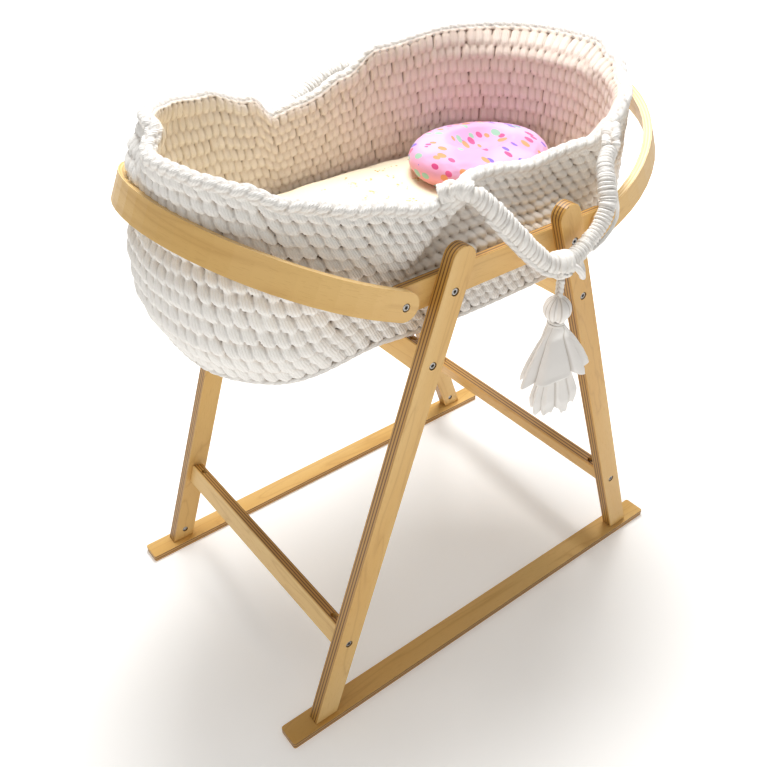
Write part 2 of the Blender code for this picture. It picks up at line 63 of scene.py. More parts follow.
def addNode(tree, kind, settings=None, links=None):
    node = tree.nodes.new(kind)
    for key, value in (settings or {}).items():
        if isinstance(key, int) or key in node.inputs:
            node.inputs[key].default_value = value
        else:
            setattr(node, key, value)
    for key, socket in (links or {}).items():
        tree.links.new(socket, node.inputs[key])
    return node


def newMaterial(name, settings):
    material = bpy.data.materials.new(name)
    material.use_nodes = True
    tree = material.node_tree
    shader = tree.nodes["Principled BSDF"]
    for key, value in settings.items():
        shader.inputs[key].default_value = value
    return material, tree, shader


def ramp(tree, factor, stops):
    node = addNode(tree, "ShaderNodeValToRGB", links={"Fac": factor})
    points = node.color_ramp.elements
    while len(points) < len(stops):
        points.new(0.5)
    for point, (place, colour) in zip(points, stops):
        point.position = place
        point.color = colour if isinstance(colour, tuple) else rgb(colour)
    return node


def paint(obj, material):
    obj.data.materials.clear()
    obj.data.materials.append(material)


def newObject(name, mesh, material, smooth=True):
    obj = bpy.data.objects.new(name, mesh)
    bpy.context.scene.collection.objects.link(obj)
    paint(obj, material)
    if smooth:
        mesh.shade_smooth()
    return obj


def gridMesh(name, points, closedU=True, closedV=False, values=None, weld=0.0):
    # points is columns x rows x 3; faces turn outward when columns run anticlockwise and rows run up
    cols, rows = points.shape[:2]
    i = np.arange(cols if closedU else cols - 1)
    j = np.arange(rows if closedV else rows - 1)
    a, b = np.meshgrid(i, j, indexing="ij")
    a2, b2 = (a + 1) % cols, (b + 1) % rows
    faces = np.stack([a * rows + b, a2 * rows + b, a2 * rows + b2, a * rows + b2], -1).reshape(-1, 4)
    mesh = bpy.data.meshes.new(name)
    mesh.from_pydata(points.reshape(-1, 3).tolist(), [], faces.tolist())
    for key, value in (values or {}).items():
        attribute = mesh.attributes.new(key, "FLOAT", "POINT")
        attribute.data.foreach_set("value", np.asarray(value, np.float32).ravel())
    if weld:
        bm = bmesh.new()
        bm.from_mesh(mesh)
        bmesh.ops.remove_doubles(bm, verts=bm.verts, dist=weld)
        bmesh.ops.recalc_face_normals(bm, faces=bm.faces)
        bm.to_mesh(mesh)
        bm.free()
    return mesh


def gridNormals(points):
    # closed along the columns, open along the rows
    du = np.roll(points, -1, 0) - np.roll(points, 1, 0)
    dv = np.gradient(points, axis=1)
    n = np.cross(du, dv)
    return n / np.maximum(np.linalg.norm(n, axis=-1, keepdims=True), 1e-9)


def smoothRoute(points, spacing):
    # Catmull-Rom through the points, then evenly spaced
    p = np.array(points, float)
    p = np.vstack([2 * p[0] - p[1], p, 2 * p[-1] - p[-2]])
    fine = []
    for a, b, c, d in zip(p, p[1:], p[2:], p[3:]):
        t = np.linspace(0, 1, 24, endpoint=False)[:, None]
        fine.append(0.5 * (2 * b + (c - a) * t + (2 * a - 5 * b + 4 * c - d) * t ** 2
                           + (3 * b - a - 3 * c + d) * t ** 3))
    fine = np.vstack(fine + [p[-2:-1]])
    run = np.concatenate([[0], np.cumsum(np.linalg.norm(np.diff(fine, axis=0), axis=1))])
    marks = np.linspace(0, run[-1], max(3, int(round(run[-1] / spacing)) + 1))
    return np.stack([np.interp(marks, run, fine[:, k]) for k in range(3)], -1), marks


def sideFrames(path, closed=False, up=(0, 0, 1)):
    # a sideways and an upward direction along a path, never twisting about it
    if closed:
        tangent = np.roll(path, -1, 0) - np.roll(path, 1, 0)
    else:
        tangent = np.gradient(path, axis=0)
    tangent /= np.linalg.norm(tangent, axis=1, keepdims=True)
    upward = np.array(up, float) - tangent * (tangent @ np.array(up, float))[:, None]
    upward /= np.linalg.norm(upward, axis=1, keepdims=True)
    side = np.cross(tangent, upward)
    return side, upward


# camera, floor and light
cameraLook = {
    "place": (-0.72598, -0.90148, 1.20602),
    "azimuth": -36.889, "elevation": 36.142, "roll": -1.024,   # degrees
    "lens": 40.61,
}


def makeCamera(look):
    a, e, r = (math.radians(look[k]) for k in ("azimuth", "elevation", "roll"))
    back = Vector((math.sin(a) * math.cos(e), -math.cos(a) * math.cos(e), math.sin(e)))
    level = Vector((math.cos(a), math.sin(a), 0))
    upright = back.cross(level)
    right = math.cos(r) * level + math.sin(r) * upright
    up = -math.sin(r) * level + math.cos(r) * upright
    data = bpy.data.cameras.new("camera")
    data.lens = look["lens"]
    data.sensor_width = 36
    data.dof.use_dof = False
    camera = bpy.data.objects.new("camera", data)
    turn = Matrix((right, up, back)).transposed().to_4x4()
    camera.matrix_world = Matrix.Translation(look["place"]) @ turn
    bpy.context.scene.collection.objects.link(camera)
    bpy.context.scene.camera = camera


studioLook = {
    "floor": "#F8F7F5", "half": 8.0,
    # the floor glows a little, and more away from the stand
    "glowFrom": 0.30, "glowTo": 1.6, "glowNear": 0.22, "glowFar": 0.95,
    "worldColour": "#FFFCF8", "world": 0.30,
    # name: (power in watts, side in metres, place, aim)
    "lights": {
        "overhead": (66, 1.0, (0.45, 0.60, 2.6), (0, 0.0, 0.7)),
        "front": (5, 1.2, (-1.9, -1.1, 1.5), (0, 0, 0.5)),
    },
}


def makeStudio(look):
    # painted studio floor, matt and even, running out into a lit backdrop
    material, tree, shader = newMaterial("paintedStudioFloor", {"Roughness": 0.9})
    shader.inputs["Base Color"].default_value = rgb(look["floor"])
    shader.inputs["Emission Color"].default_value = rgb(look["floor"])
    place = addNode(tree, "ShaderNodeTexCoord").outputs["Object"]
    away = addNode(tree, "ShaderNodeVectorMath", {"operation": "LENGTH"}, {0: place})
    glow = addNode(tree, "ShaderNodeMapRange", {"From Min": look["glowFrom"], "From Max": look["glowTo"],
                                                "To Min": look["glowNear"], "To Max": look["glowFar"]},
                   {"Value": away.outputs["Value"]})
    tree.links.new(glow.outputs[0], shader.inputs["Emission Strength"])
    mesh = bpy.data.meshes.new("studioFloor")
    half = look["half"]
    mesh.from_pydata([(-half, -half, -0.0005), (half, -half, -0.0005), (half, half, -0.0005),
                      (-half, half, -0.0005)], [], [(0, 1, 2, 3)])
    newObject("studioFloor", mesh, material, smooth=False)
    world = bpy.data.worlds.new("studio")
    bpy.context.scene.world = world
    world.use_nodes = True
    background = world.node_tree.nodes["Background"]
    background.inputs["Color"].default_value = rgb(look["worldColour"])
    background.inputs["Strength"].default_value = look["world"]
    for name, (power, side, place, aim) in look["lights"].items():
        data = bpy.data.lights.new(name, "AREA")
        data.shape = "SQUARE"
        data.size = side
        data.energy = power
        lamp = bpy.data.objects.new(name, data)
        lamp.location = place
        lamp.rotation_mode = "QUATERNION"
        lamp.rotation_quaternion = (Vector(aim) - Vector(place)).to_track_quat("-Z", "Y")
        bpy.context.scene.collection.objects.link(lamp)
    bpy.context.scene.view_settings.view_transform = "Standard"


makeCamera(cameraLook)
makeStudio(studioLook)
print("camera and studio ready")


# oiled birch plywood: pale rotary-cut birch faces, warm under oil, and edges striped by the crossed plies
plyLook = {
    "light": "#E9C27C", "mid": "#DCAA58", "dark": "#B57B30",
    "plyDark": "#6A4519", "plyLight": "#C08F43",
    "plyPitch": 0.0052,     # a dark ply and a light one, drawn broad enough to read
    "figure": 0.075,        # width of the wandering growth lines, m
    "pore": 0.0011,         # birch pores, drawn a little coarse so that they show
}


def birchPly(name, look, along, across, layer, bend=None):
    # along, across and layer are unit directions; bend gives a hoop's own curved directions instead
    material, tree, shader = newMaterial(name, {"Roughness": 0.42, "IOR": 1.5, "Coat Weight": 0.12,
                                                "Coat Roughness": 0.3})
    coords = addNode(tree, "ShaderNodeTexCoord")
    place = coords.outputs["Object"]
    turned = coords.outputs["Normal"]

    def reach(vector, direction):
        return addNode(tree, "ShaderNodeVectorMath", {"operation": "DOT_PRODUCT", 1: direction},
                       {0: vector}).outputs["Value"]

    def sum2(operation, a, b):
        settings, links = {"operation": operation}, {}
        for index, value in enumerate((a, b)):
            if isinstance(value, (int, float)):
                settings[index] = value
            else:
                links[index] = value
        return addNode(tree, "ShaderNodeMath", settings, links).outputs[0]

    if bend:
        # distance round the bow and depth through the strip, from the pivot
        far = sum2("SUBTRACT", reach(place, along), bend["start"])
        far = sum2("MAXIMUM", far, 0.0)
        wide = sum2("SUBTRACT", reach(place, across), bend["middle"])
        far = sum2("DIVIDE", far, bend["bow"])
        wide = sum2("DIVIDE", wide, bend["half"])
        ring = sum2("SQRT", sum2("ADD", sum2("MULTIPLY", far, far), sum2("MULTIPLY", wide, wide)), 0.0)
        depth = sum2("MULTIPLY", ring, bend["mean"])
        length = sum2("MULTIPLY", sum2("ARCTAN2", far, wide), bend["mean"])
        width = reach(place, layer)
        edge = sum2("ABSOLUTE", reach(turned, layer), 0.0)
    else:
        depth, length, width = reach(place, layer), reach(place, along), reach(place, across)
        edge = sum2("SUBTRACT", 1.0, sum2("ABSOLUTE", reach(turned, layer), 0.0))
    grain = addNode(tree, "ShaderNodeCombineXYZ", links={
        "X": sum2("MULTIPLY", length, 0.16), "Y": width, "Z": sum2("MULTIPLY", depth, 0.5)})
    figure = addNode(tree, "ShaderNodeTexNoise", {"Scale": 1 / look["figure"], "Detail": 3.0,
                                                  "Distortion": 0.8}, {"Vector": grain.outputs[0]})
    rings = addNode(tree, "ShaderNodeMath", {"operation": "PINGPONG", 1: 0.5},
                    {0: sum2("MULTIPLY", figure.outputs["Fac"], 7.0)})
    lines = sum2("POWER", sum2("MULTIPLY", rings.outputs[0], 2.0), 6.0)
    pores = addNode(tree, "ShaderNodeCombineXYZ", links={
        "X": sum2("MULTIPLY", length, 0.07), "Y": width, "Z": depth})
    pore = addNode(tree, "ShaderNodeTexNoise", {"Scale": 1 / look["pore"], "Detail": 2.0},
                   {"Vector": pores.outputs[0]})
    cloud = addNode(tree, "ShaderNodeTexNoise", {"Scale": 9.0, "Detail": 2.0}, {"Vector": grain.outputs[0]})
    face = ramp(tree, cloud.outputs["Fac"], [(0.3, look["mid"]), (0.62, look["light"])])
    lined = addNode(tree, "ShaderNodeMix", {"data_type": "RGBA", 7: rgb(look["dark"])},
                    {0: sum2("MULTIPLY", lines, 0.30), 6: face.outputs[0]})
    poreShade = sum2("MULTIPLY", sum2("GREATER_THAN", pore.outputs["Fac"], 0.63), 0.16)
    pored = addNode(tree, "ShaderNodeMix", {"data_type": "RGBA", 7: rgb(look["dark"])},
                    {0: poreShade, 6: lined.outputs[2]})
    # the plies on the edge, alternately end grain and long grain
    ply = addNode(tree, "ShaderNodeMath", {"operation": "PINGPONG", 1: 0.5},
                  {0: sum2("DIVIDE", depth, look["plyPitch"])})
    plies = ramp(tree, ply.outputs[0], [(0.12, look["plyDark"]), (0.24, look["plyLight"])])
    mixed = addNode(tree, "ShaderNodeMix", {"data_type": "RGBA"},
                    {0: sum2("GREATER_THAN", edge, 0.5), 6: pored.outputs[2], 7: plies.outputs[0]})
    tree.links.new(mixed.outputs[2], shader.inputs["Base Color"])
    rough = addNode(tree, "ShaderNodeMapRange", {"From Min": 0.3, "From Max": 0.7, "To Min": 0.38,
                                                 "To Max": 0.52}, {"Value": pore.outputs["Fac"]})
    tree.links.new(rough.outputs[0], shader.inputs["Roughness"])
    bump = addNode(tree, "ShaderNodeBump", {"Strength": 0.12, "Distance": 0.0003},
                   {"Height": pore.outputs["Fac"]})
    tree.links.new(bump.outputs[0], shader.inputs["Normal"])
    return material


def dressStand(look):
    lean = math.radians(19.1)
    for end, sign in (("foot", -1), ("head", 1)):
        up = Vector((-sign * math.sin(lean), 0, math.cos(lean)))
        flat = Vector((math.cos(lean), 0, sign * math.sin(lean)))
        legWood = birchPly(f"oiledBirchLeg_{end}", look, up, flat, Vector((0, 1, 0)))
        for side in ("near", "far"):
            paint(nodes[f"leg_{end}_{side}"], legWood)
        # bars show their thin edge upward, plies across the lean
        barWood = birchPly(f"oiledBirchBar_{end}", look, Vector((0, 1, 0)), up, flat)
        for bar in ("lower_bar", "bed_bar"):
            paint(nodes[f"{bar}_{end}"], barWood)
    railWood = birchPly("oiledBirchRail", look, Vector((1, 0, 0)), Vector((0, 1, 0)), Vector((0, 0, 1)))
    plateWood = birchPly("oiledBirchPlate", look, Vector((1, 0, 0)), Vector((0, 0, 1)), Vector((0, 1, 0)))
    for side in ("near", "far"):
        paint(nodes[f"base_rail_{side}"], railWood)
        paint(nodes[f"side_plate_{side}"], plateWood)
    rawWood = dict(look, light="#E8D3A8", mid="#DEC390", dark="#CBA76E")
    paint(nodes["base_board"], birchPly("rawBirchBoard", rawWood, Vector((1, 0, 0)), Vector((0, 1, 0)),
                                        Vector((0, 0, 1))))


hoopLook = {
    "tilt": 25.5,                       # degrees
    "pivot": {"foot": (-0.1795, 0.020, 0.678), "head": (0.1695, 0.020, 0.678)},
    "reach": {"foot": 0.225, "head": 0.240},
    "straight": 0.026, "half": 0.229,
}


def dressHoops(look, wood):
    tilt = math.radians(look["tilt"])
    for end, sign in (("foot", -1), ("head", 1)):
        away = Vector((sign * math.cos(tilt), 0, math.sin(tilt)))
        upward = Vector((-sign * math.sin(tilt), 0, math.cos(tilt)))
        pivot = Vector(look["pivot"][end])
        bow = look["reach"][end] - look["straight"]
        bend = {"start": away.dot(pivot) + look["straight"], "middle": pivot.y, "bow": bow,
                "half": look["half"], "mean": (bow + look["half"]) / 2}
        # bent strips show a paler, tighter lamination than the sawn legs
        strip = dict(wood, plyDark="#E0B56E", plyLight="#F3D193", plyPitch=0.004)
        paint(nodes[f"hoop_{end}"], birchPly(f"bentBirchStrip_{end}", strip, away, Vector((0, 1, 0)),
                                            upward, bend))


# zinc-plated steel: bolts and barrel nuts, turned and tumbled, a cool grey with soft highlights
steelLook = {"colour": "#B7B5B1", "dull": "#7D7A76", "roughness": 0.34, "tumble": 0.0016}


def zincPlate(look):
    material, tree, shader = newMaterial("zincPlatedSteel", {"Metallic": 1.0})
    coords = addNode(tree, "ShaderNodeTexCoord")
    noise = addNode(tree, "ShaderNodeTexNoise", {"Scale": 1 / look["tumble"], "Detail": 3.0},
                    {"Vector": coords.outputs["Object"]})
    colour = ramp(tree, noise.outputs["Fac"], [(0.35, look["dull"]), (0.6, look["colour"])])
    tree.links.new(colour.outputs[0], shader.inputs["Base Color"])
    rough = addNode(tree, "ShaderNodeMapRange", {"To Min": look["roughness"] - 0.08,
                                                 "To Max": look["roughness"] + 0.12},
                    {"Value": noise.outputs["Fac"]})
    tree.links.new(rough.outputs[0], shader.inputs["Roughness"])
    return material


dressStand(plyLook)
dressHoops(hoopLook, plyLook)
zinc = zincPlate(steelLook)
for name, node in nodes.items():
    if "bolt" in name or "nut" in name:
        paint(node, zinc)
print("wood and bolts dressed")


# cotton tube yarn: cut jersey that curls on itself, so it is matt, a little fuzzy and finely ridged; its
# colour darkens from stitch crown to crease, a painted shade
# lit and deep: painted light on the stitch crowns and painted shade in the creases between them
yarnLook = {"lit": "#FAF7F2", "mid": "#E4DACF", "deep": "#7A6453", "ridge": 9.0, "fuzz": 0.0009}


def cottonYarn(name, look, paintedBounce=None):
    material, tree, shader = newMaterial(name, {"Roughness": 0.85, "IOR": 1.46, "Sheen Weight": 0.25,
                                                "Sheen Roughness": 0.5})
    coords = addNode(tree, "ShaderNodeTexCoord")
    height = addNode(tree, "ShaderNodeAttribute", {"attribute_name": "puff"})
    strand = addNode(tree, "ShaderNodeAttribute", {"attribute_name": "strand"})
    # colour follows stitch height: painted shade in the creases, painted light on the crowns
    colour = ramp(tree, height.outputs["Fac"],
                  [(0.08, look["deep"]), (0.36, look["mid"]), (0.80, look["lit"])])
    final = colour.outputs[0]
    if paintedBounce:
        # painted light: a warm glow kept inside the basket, and a painted rosy reflection round the pillow
        gap = addNode(tree, "ShaderNodeVectorMath", {"operation": "DISTANCE", 1: paintedBounce["centre"]},
                      {0: coords.outputs["Object"]})
        glow = ramp(tree, addNode(tree, "ShaderNodeMapRange", {"From Min": paintedBounce["near"],
                                                               "From Max": paintedBounce["far"]},
                                  {"Value": gap.outputs["Value"]}).outputs[0],
                    [(0.0, paintedBounce["rosy"]), (0.55, paintedBounce["warm"]), (1.0, paintedBounce["pale"])])
        inner = addNode(tree, "ShaderNodeAttribute", {"attribute_name": "inner"})
        blend = addNode(tree, "ShaderNodeMix", {"data_type": "RGBA", "blend_type": "MULTIPLY"},
                        {0: inner.outputs["Fac"], 6: final, 7: glow.outputs[0]})
        final = blend.outputs[2]
    tree.links.new(final, shader.inputs["Base Color"])
    # ridges lie along each stitch, with a fine cotton fuzz over them
    wave = addNode(tree, "ShaderNodeMath", {"operation": "MULTIPLY", 1: look["ridge"]},
                   {0: strand.outputs["Fac"]})
    crest = addNode(tree, "ShaderNodeMath", {"operation": "SINE"}, {0: wave.outputs[0]})
    fuzz = addNode(tree, "ShaderNodeTexNoise", {"Scale": 1 / look["fuzz"], "Detail": 4.0},
                   {"Vector": coords.outputs["Object"]})
    total = addNode(tree, "ShaderNodeMath", {"operation": "MULTIPLY_ADD", 1: 0.5},
                    {0: crest.outputs[0], 2: fuzz.outputs["Fac"]})
    bump = addNode(tree, "ShaderNodeBump", {"Strength": 0.55, "Distance": 0.0009},
                   {"Height": total.outputs[0]})
    tree.links.new(bump.outputs[0], shader.inputs["Normal"])
    return material


# the basket's form, the same plan and rim as the frame's shell
shift = Vector((-0.005, 0.020, 0.0))     # middle of the stand in this frame
basketForm = {
    "halfLength": 0.364, "halfWidth": 0.2115, "squareness": 2.6,
    "bottom": 0.6032, "wall": 0.016, "corner": 0.013,
    "flareStart": 0.800, "flareRise": 0.050, "headFlare": 0.034,
    # degrees round the plan: rim height
    "rim": {0: 0.845, 52: 0.847, 76: 0.834, 85: 0.803, 92: 0.778, 98: 0.771, 103: 0.803, 117: 0.830,
            135: 0.843, 150: 0.851, 163: 0.860, 171: 0.863, 181: 0.843, 192: 0.843, 204: 0.838,
            213: 0.832, 226: 0.813, 245: 0.795, 257: 0.780, 270: 0.778, 281: 0.764, 297: 0.774,
            306: 0.797, 317: 0.813, 335: 0.815, 350: 0.832, 360: 0.845},
    "headSag": 0.014, "footSag": 0.036,     # the floor's ends sag past the bed bars
    # the near wall folds in between the legs: depth, and where the slanting fold starts at z 0.69
    "dent": 0.044, "dentFrom": -0.170, "dentSlope": 1.15,
    "footLean": 0.027, "foldAt": (math.radians(173), math.radians(182)),
    "bulge": 0.007, "footBulge": 0.017,
}


def planPoint(angle, inset):
    power = 2 / basketForm["squareness"]
    c, s = np.cos(angle), np.sin(angle)
    x = np.sign(c) * np.abs(c) ** power * (basketForm["halfLength"] - inset)
    y = np.sign(s) * np.abs(s) ** power * (basketForm["halfWidth"] - inset)
    return x, y


def evenAngles(count):
    # angles that split the plan's outline into even steps, mirror-even about its long axis
    fine = np.linspace(0, np.pi, 4001)
    x, y = planPoint(fine, 0.0)
    run = np.concatenate([[0], np.cumsum(np.hypot(np.diff(x), np.diff(y)))])
    half = np.interp(np.arange(count // 2 + 1) / (count // 2) * run[-1], run, fine)
    return np.concatenate([half, 2 * np.pi - half[-2:0:-1]]), 2 * run[-1]


def rimHeight(angle):
    degrees = np.degrees(angle) % 360
    stops = sorted(basketForm["rim"])
    out = np.zeros_like(degrees)
    for low, high in zip(stops, stops[1:]):
        here = (degrees >= low) & (degrees <= high)
        t = ease(degrees, low, high)
        lower, upper = basketForm["rim"][low], basketForm["rim"][high]
        out = np.where(here, lower + (upper - lower) * t, out)
    return out


def wallPoint(angle, inset, z, outer=1.0):
    # a point of the wall, with its flare, bulges, the near fold and the sagging ends
    form = basketForm
    toEnd = np.cos(angle)
    lift = ease(z, form["flareStart"], form["flareStart"] + form["flareRise"])
    flare = form["headFlare"] * np.maximum(toEnd, 0) ** 2 * lift
    # the far half of the foot end leans in, which leaves a fold by the near corner
    flare = flare - form["footLean"] * np.minimum(toEnd, 0) ** 2 * (1 - ease(angle, *form["foldAt"])) * lift
    x0, y0 = planPoint(angle, 0.0)
    endness = ease(np.abs(x0), 0.19, 0.28)
    bulge = form["bulge"] * (endness * ease(z, 0.61, 0.66)
                             + (1 - endness) * ease(z, 0.70, 0.745)) * outer
    bulge = bulge + (form["footBulge"] * endness * (x0 < 0) * ease(z, 0.60, 0.65)
                     * (1 - ease(z, 0.69, 0.75)) * outer)
    start = form["dentFrom"] + form["dentSlope"] * np.clip(z - 0.69, 0, 0.1)
    inHollow = ease(x0 - start, 0.0, 0.065) * (1 - ease(x0, 0.12, 0.26))
    dent = form["dent"] * inHollow * (y0 < 0) * ease(z, 0.66, 0.745)
    x, y = planPoint(angle, inset - flare - bulge)
    y = y + dent
    sag = np.where(x0 < 0, form["footSag"], form["headSag"])
    z = z - sag * ease(np.abs(x0), 0.17, 0.31) * (1 - ease(z, 0.60, 0.72))
    return np.stack([x + shift.x, y + shift.y, z + shift.z + 0 * x], -1)


def stitchField(s, t, count, rows, look):
    # puffed stitches: the tallest of the neighbours wins, which leaves the creases between them
    spread = np.random.default_rng(look["seed"])
    jitter = spread.uniform(-1, 1, (4, rows + 2, count))
    best = np.full(s.shape, -0.35)
    strand = np.zeros(s.shape)
    row0 = np.floor(t).astype(int)
    for dj in (-1, 0, 1):
        row = row0 + dj
        known = (row >= 0) & (row < rows)
        r = np.clip(row, 0, rows - 1)
        offset = 0.5 * (r % 2)
        col0 = np.floor(s - offset).astype(int)
        for di in (-1, 0, 1, 2):
            col = col0 + di
            c = col % count
            j0, j1, j2, j3 = (jitter[k][r, c] for k in range(4))
            dx = s - (col + 0.5 + offset + 0.09 * j0)
            dy = t - (r + 0.5 + 0.05 * j1)
            px = dx - (look["slant"] + 0.06 * j3) * dy
            wide = look["wide"] * (1 - look["taper"] * dy)
            q = (np.abs(px) / wide) ** look["square"] + (np.abs(dy) / look["tall"]) ** look["square"]
            h = np.sqrt(np.clip(1 - q, 0, 1)) * (1 + 0.10 * j2) - look["shingle"] * dy
            h = np.where((q < 1) & known, h, -0.35)
            win = h > best
            best = np.where(win, h, best)
            strand = np.where(win, px / wide * 2 + 0.8 * j1, strand)
    return best, strand


crochetLook = {
    "columns": 920,
    "outer": {"count": 112, "rows": 14, "steps": 7, "slant": -0.36, "wide": 0.57, "tall": 0.64, "taper": 0.10,
              "square": 2.5, "shingle": 0.80, "seed": 11, "relief": 0.0072},
    "inner": {"count": 136, "rows": 11, "steps": 6, "slant": 0.05, "wide": 0.53, "tall": 0.60, "taper": 0.04,
              "square": 3.0, "shingle": 0.60, "seed": 12, "relief": 0.0042},
    "under": {"rings": 8, "steps": 3, "relief": 0.0035},
}


def crochetBasket(look, material):
    angles = evenAngles(look["columns"])[0]
    u = np.arange(look["columns"]) / look["columns"]
    form = basketForm
    rows, reliefs, strands, inners = [], [], [], []

    def addRow(inset, z, relief, strand, inner):
        rows.append(wallPoint(angles, inset, z + 0 * angles, 1 - inner))
        reliefs.append(relief + 0 * angles)
        strands.append(strand + 0 * angles)
        inners.append(inner + 0 * angles)

    # underneath: rings of stitches from the middle line out to the edge
    under = look["under"]
    steps = under["rings"] * under["steps"]
    for k in range(steps):
        share = k / steps
        inset = form["halfWidth"] * (1 - share) + form["corner"] * share
        wave = abs(math.sin(math.pi * share * under["rings"]))
        reach = inset if k else form["halfWidth"]
        addRow(reach, form["bottom"] + 0.002, under["relief"] * (wave - 1), 0.0, 0)
    # round the bottom edge and up the outside
    o = look["outer"]
    count = o["rows"] * o["steps"]
    rim = rimHeight(angles)
    top = rim - 0.006
    for k in range(count + 1):
        share = k / count
        bend = min(share * o["rows"] / 1.2, 1.0)
        inset = form["corner"] * (1 - math.sin(bend * math.pi / 2)) + 0.004
        z = form["bottom"] + form["corner"] * (1 - math.cos(bend * math.pi / 2))
        if share * o["rows"] > 1.2:
            z0 = form["bottom"] + form["corner"]
            z = z0 + (top - z0) * (share - 1.2 / o["rows"]) / (1 - 1.2 / o["rows"])
        h, strand = stitchField(u * o["count"], np.full(u.shape, share * o["rows"] * 0.9999), o["count"],
                                o["rows"], o)
        addRow(inset, z, o["relief"] * (h - 0.55), strand, 0)
    # over the top, hidden under the rim braid
    for k in range(1, 4):
        turn = math.pi * k / 4
        addRow(0.004 + (form["wall"] - 0.004) * (1 - math.cos(turn)) / 2, top + 0.003 * math.sin(turn),
               0.0, 0.0, k / 4)
    # down the inside
    i = look["inner"]
    floor = form["bottom"] + 0.014
    count = i["rows"] * i["steps"]
    for k in range(count + 1):
        share = 1 - k / count
        z = floor + (top - floor) * share
        h, strand = stitchField(u * i["count"], np.full(u.shape, share * i["rows"] * 0.9999), i["count"],
                                i["rows"], i)
        addRow(form["wall"] - 0.001, z, i["relief"] * (h - 0.75), strand, 1)
    addRow(form["halfWidth"], floor, 0.0, 0.0, 1)
    points = np.stack(rows, 1)
    relief = np.stack(reliefs, 1)
    normals = gridNormals(points)
    normals[:, :3] = (0, 0, -1)
    normals[:, -2:] = (0, 0, 1)
    points = points + normals * relief[..., None]
    # stitch height, which the yarn colour turns into painted shade in the creases
    puff = np.clip((relief / o["relief"] + 0.75) / 1.25, 0, 1)
    mesh = gridMesh("basketCrochet", points, values={"puff": puff, "strand": np.stack(strands, 1),
                                                     "inner": np.stack(inners, 1)}, weld=0.00002)
    obj = newObject("basketCrochet", mesh, material)
    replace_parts(obj, "basket_shell")
    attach(obj, "basket")
    return obj


# a chain of slanted loops, worked along an edge
def capped(rows):
    # the first and last rows again, for the closed ends of a cord
    return np.vstack([rows[:1], rows, rows[-1:]])


def chainCord(name, path, closed, look, material, body):
    steps = look["stepsRound"]
    if closed:
        loop = np.vstack([path, path[:1]])
    else:
        loop = path
    run = np.concatenate([[0], np.cumsum(np.linalg.norm(np.diff(loop, axis=0), axis=1))])
    loops = int(round(run[-1] / look["pitch"]))
    columns = loops * look["stepsAlong"] + (0 if closed else 1)
    marks = np.arange(columns) / (loops * look["stepsAlong"]) * run[-1]
    middle = np.stack([np.interp(marks, run, loop[:, k]) for k in range(3)], -1)
    side, up = sideFrames(middle, closed, look.get("up", (0, 0, 1)))
    turn = np.arange(steps) / steps * 2 * np.pi
    s = marks[:, None] / run[-1] * loops
    # each loop is a slanted bean, one lane on either side of the crown
    best = np.zeros((columns, steps))
    strand = np.zeros((columns, steps))
    spread = np.random.default_rng(look["seed"]).uniform(-1, 1, (2, loops + 2))
    for lane, centre in enumerate(look["lanes"]):
        away = (turn - centre + np.pi) % (2 * np.pi) - np.pi
        lean = look["lean"] * (1 if lane % 2 == 0 else -1)
        for d in (-1, 0, 1):
            cell = np.floor(s).astype(int) + d
            key = cell % loops
            px = s - (cell + 0.5 + 0.5 * (lane % 2) + 0.08 * spread[0][key]) - lean * away[None, :]
            q = (np.abs(px) / look["wide"]) ** 2 + (np.abs(away[None, :]) / look["span"]) ** 2
            h = np.sqrt(np.clip(1 - q, 0, 1)) * (1 + 0.12 * spread[1][key])
            win = h > best
            best = np.where(win, h, best)
            strand = np.where(win, px / look["wide"] * 2, strand)
    radius = look["radius"] - look["relief"] + look["relief"] * best
    squash = look.get("flat", 1.0)
    points = (middle[:, None, :] + side[:, None, :] * (radius * np.cos(turn))[..., None]
              + up[:, None, :] * (radius * np.sin(turn) * squash)[..., None])
    if not closed:
        points = np.concatenate([np.repeat(middle[:1, None, :], steps, 1), points,
                                 np.repeat(middle[-1:, None, :], steps, 1)], 0)
        best, strand = capped(best), capped(strand)
    # the loop height also sets the yarn's painted shade between the loops
    mesh = gridMesh(name, points, closedU=closed, closedV=True,
                    values={"puff": 0.2 + 0.8 * best, "strand": strand, "inner": 0 * best}, weld=0.00001)
    obj = newObject(name, mesh, material)
    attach(obj, body)
    return obj


rimLook = {"radius": 0.0105, "relief": 0.0042, "pitch": 0.0155, "stepsAlong": 9, "stepsRound": 22,
           "lanes": (0.15 * math.pi, 0.62 * math.pi, -0.35 * math.pi, 1.10 * math.pi), "lean": 0.42,
           "wide": 0.62, "span": 0.95, "seed": 21}
baseLook = {"radius": 0.0052, "relief": 0.0020, "pitch": 0.0150, "stepsAlong": 8, "stepsRound": 12,
            "lanes": (0.0, math.pi), "lean": 0.40, "wide": 0.62, "span": 1.5, "seed": 22}


def basketEdges(material):
    form = basketForm
    angles = evenAngles(720)[0]
    rim = rimHeight(angles)
    path = wallPoint(angles, form["wall"] / 2 + 0.001, rim - 0.0065)
    # the braid runs clockwise, so that its side direction points out
    chainCord("rimBraid", path, True, rimLook, material, "basket")
    edge = wallPoint(angles, form["corner"] * 0.42, form["bottom"] + 0.0045 + 0 * angles)
    chainCord("baseChain", edge, True, baseLook, material, "basket")


# painted light inside the basket: a warm glow, rosy near the pillow as a painted reflection of it
insidePaintedBounce = {"centre": (0.20, 0.070, 0.69), "near": 0.12, "far": 0.62,
              "rosy": "#FFF0EB", "warm": "#FFF9F0", "pale": "#FFF6E0"}
basketYarn = cottonYarn("cottonTubeYarnBasket", yarnLook, insidePaintedBounce)
plainYarn = cottonYarn("cottonTubeYarn", yarnLook)
crochetBasket(crochetLook, basketYarn)
basketEdges(plainYarn)
print("basket crocheted")

# wrapped rope handles: a soft core bound round with tube yarn
def inFrame(points):
    return [tuple(Vector(p) + shift) for p in points]


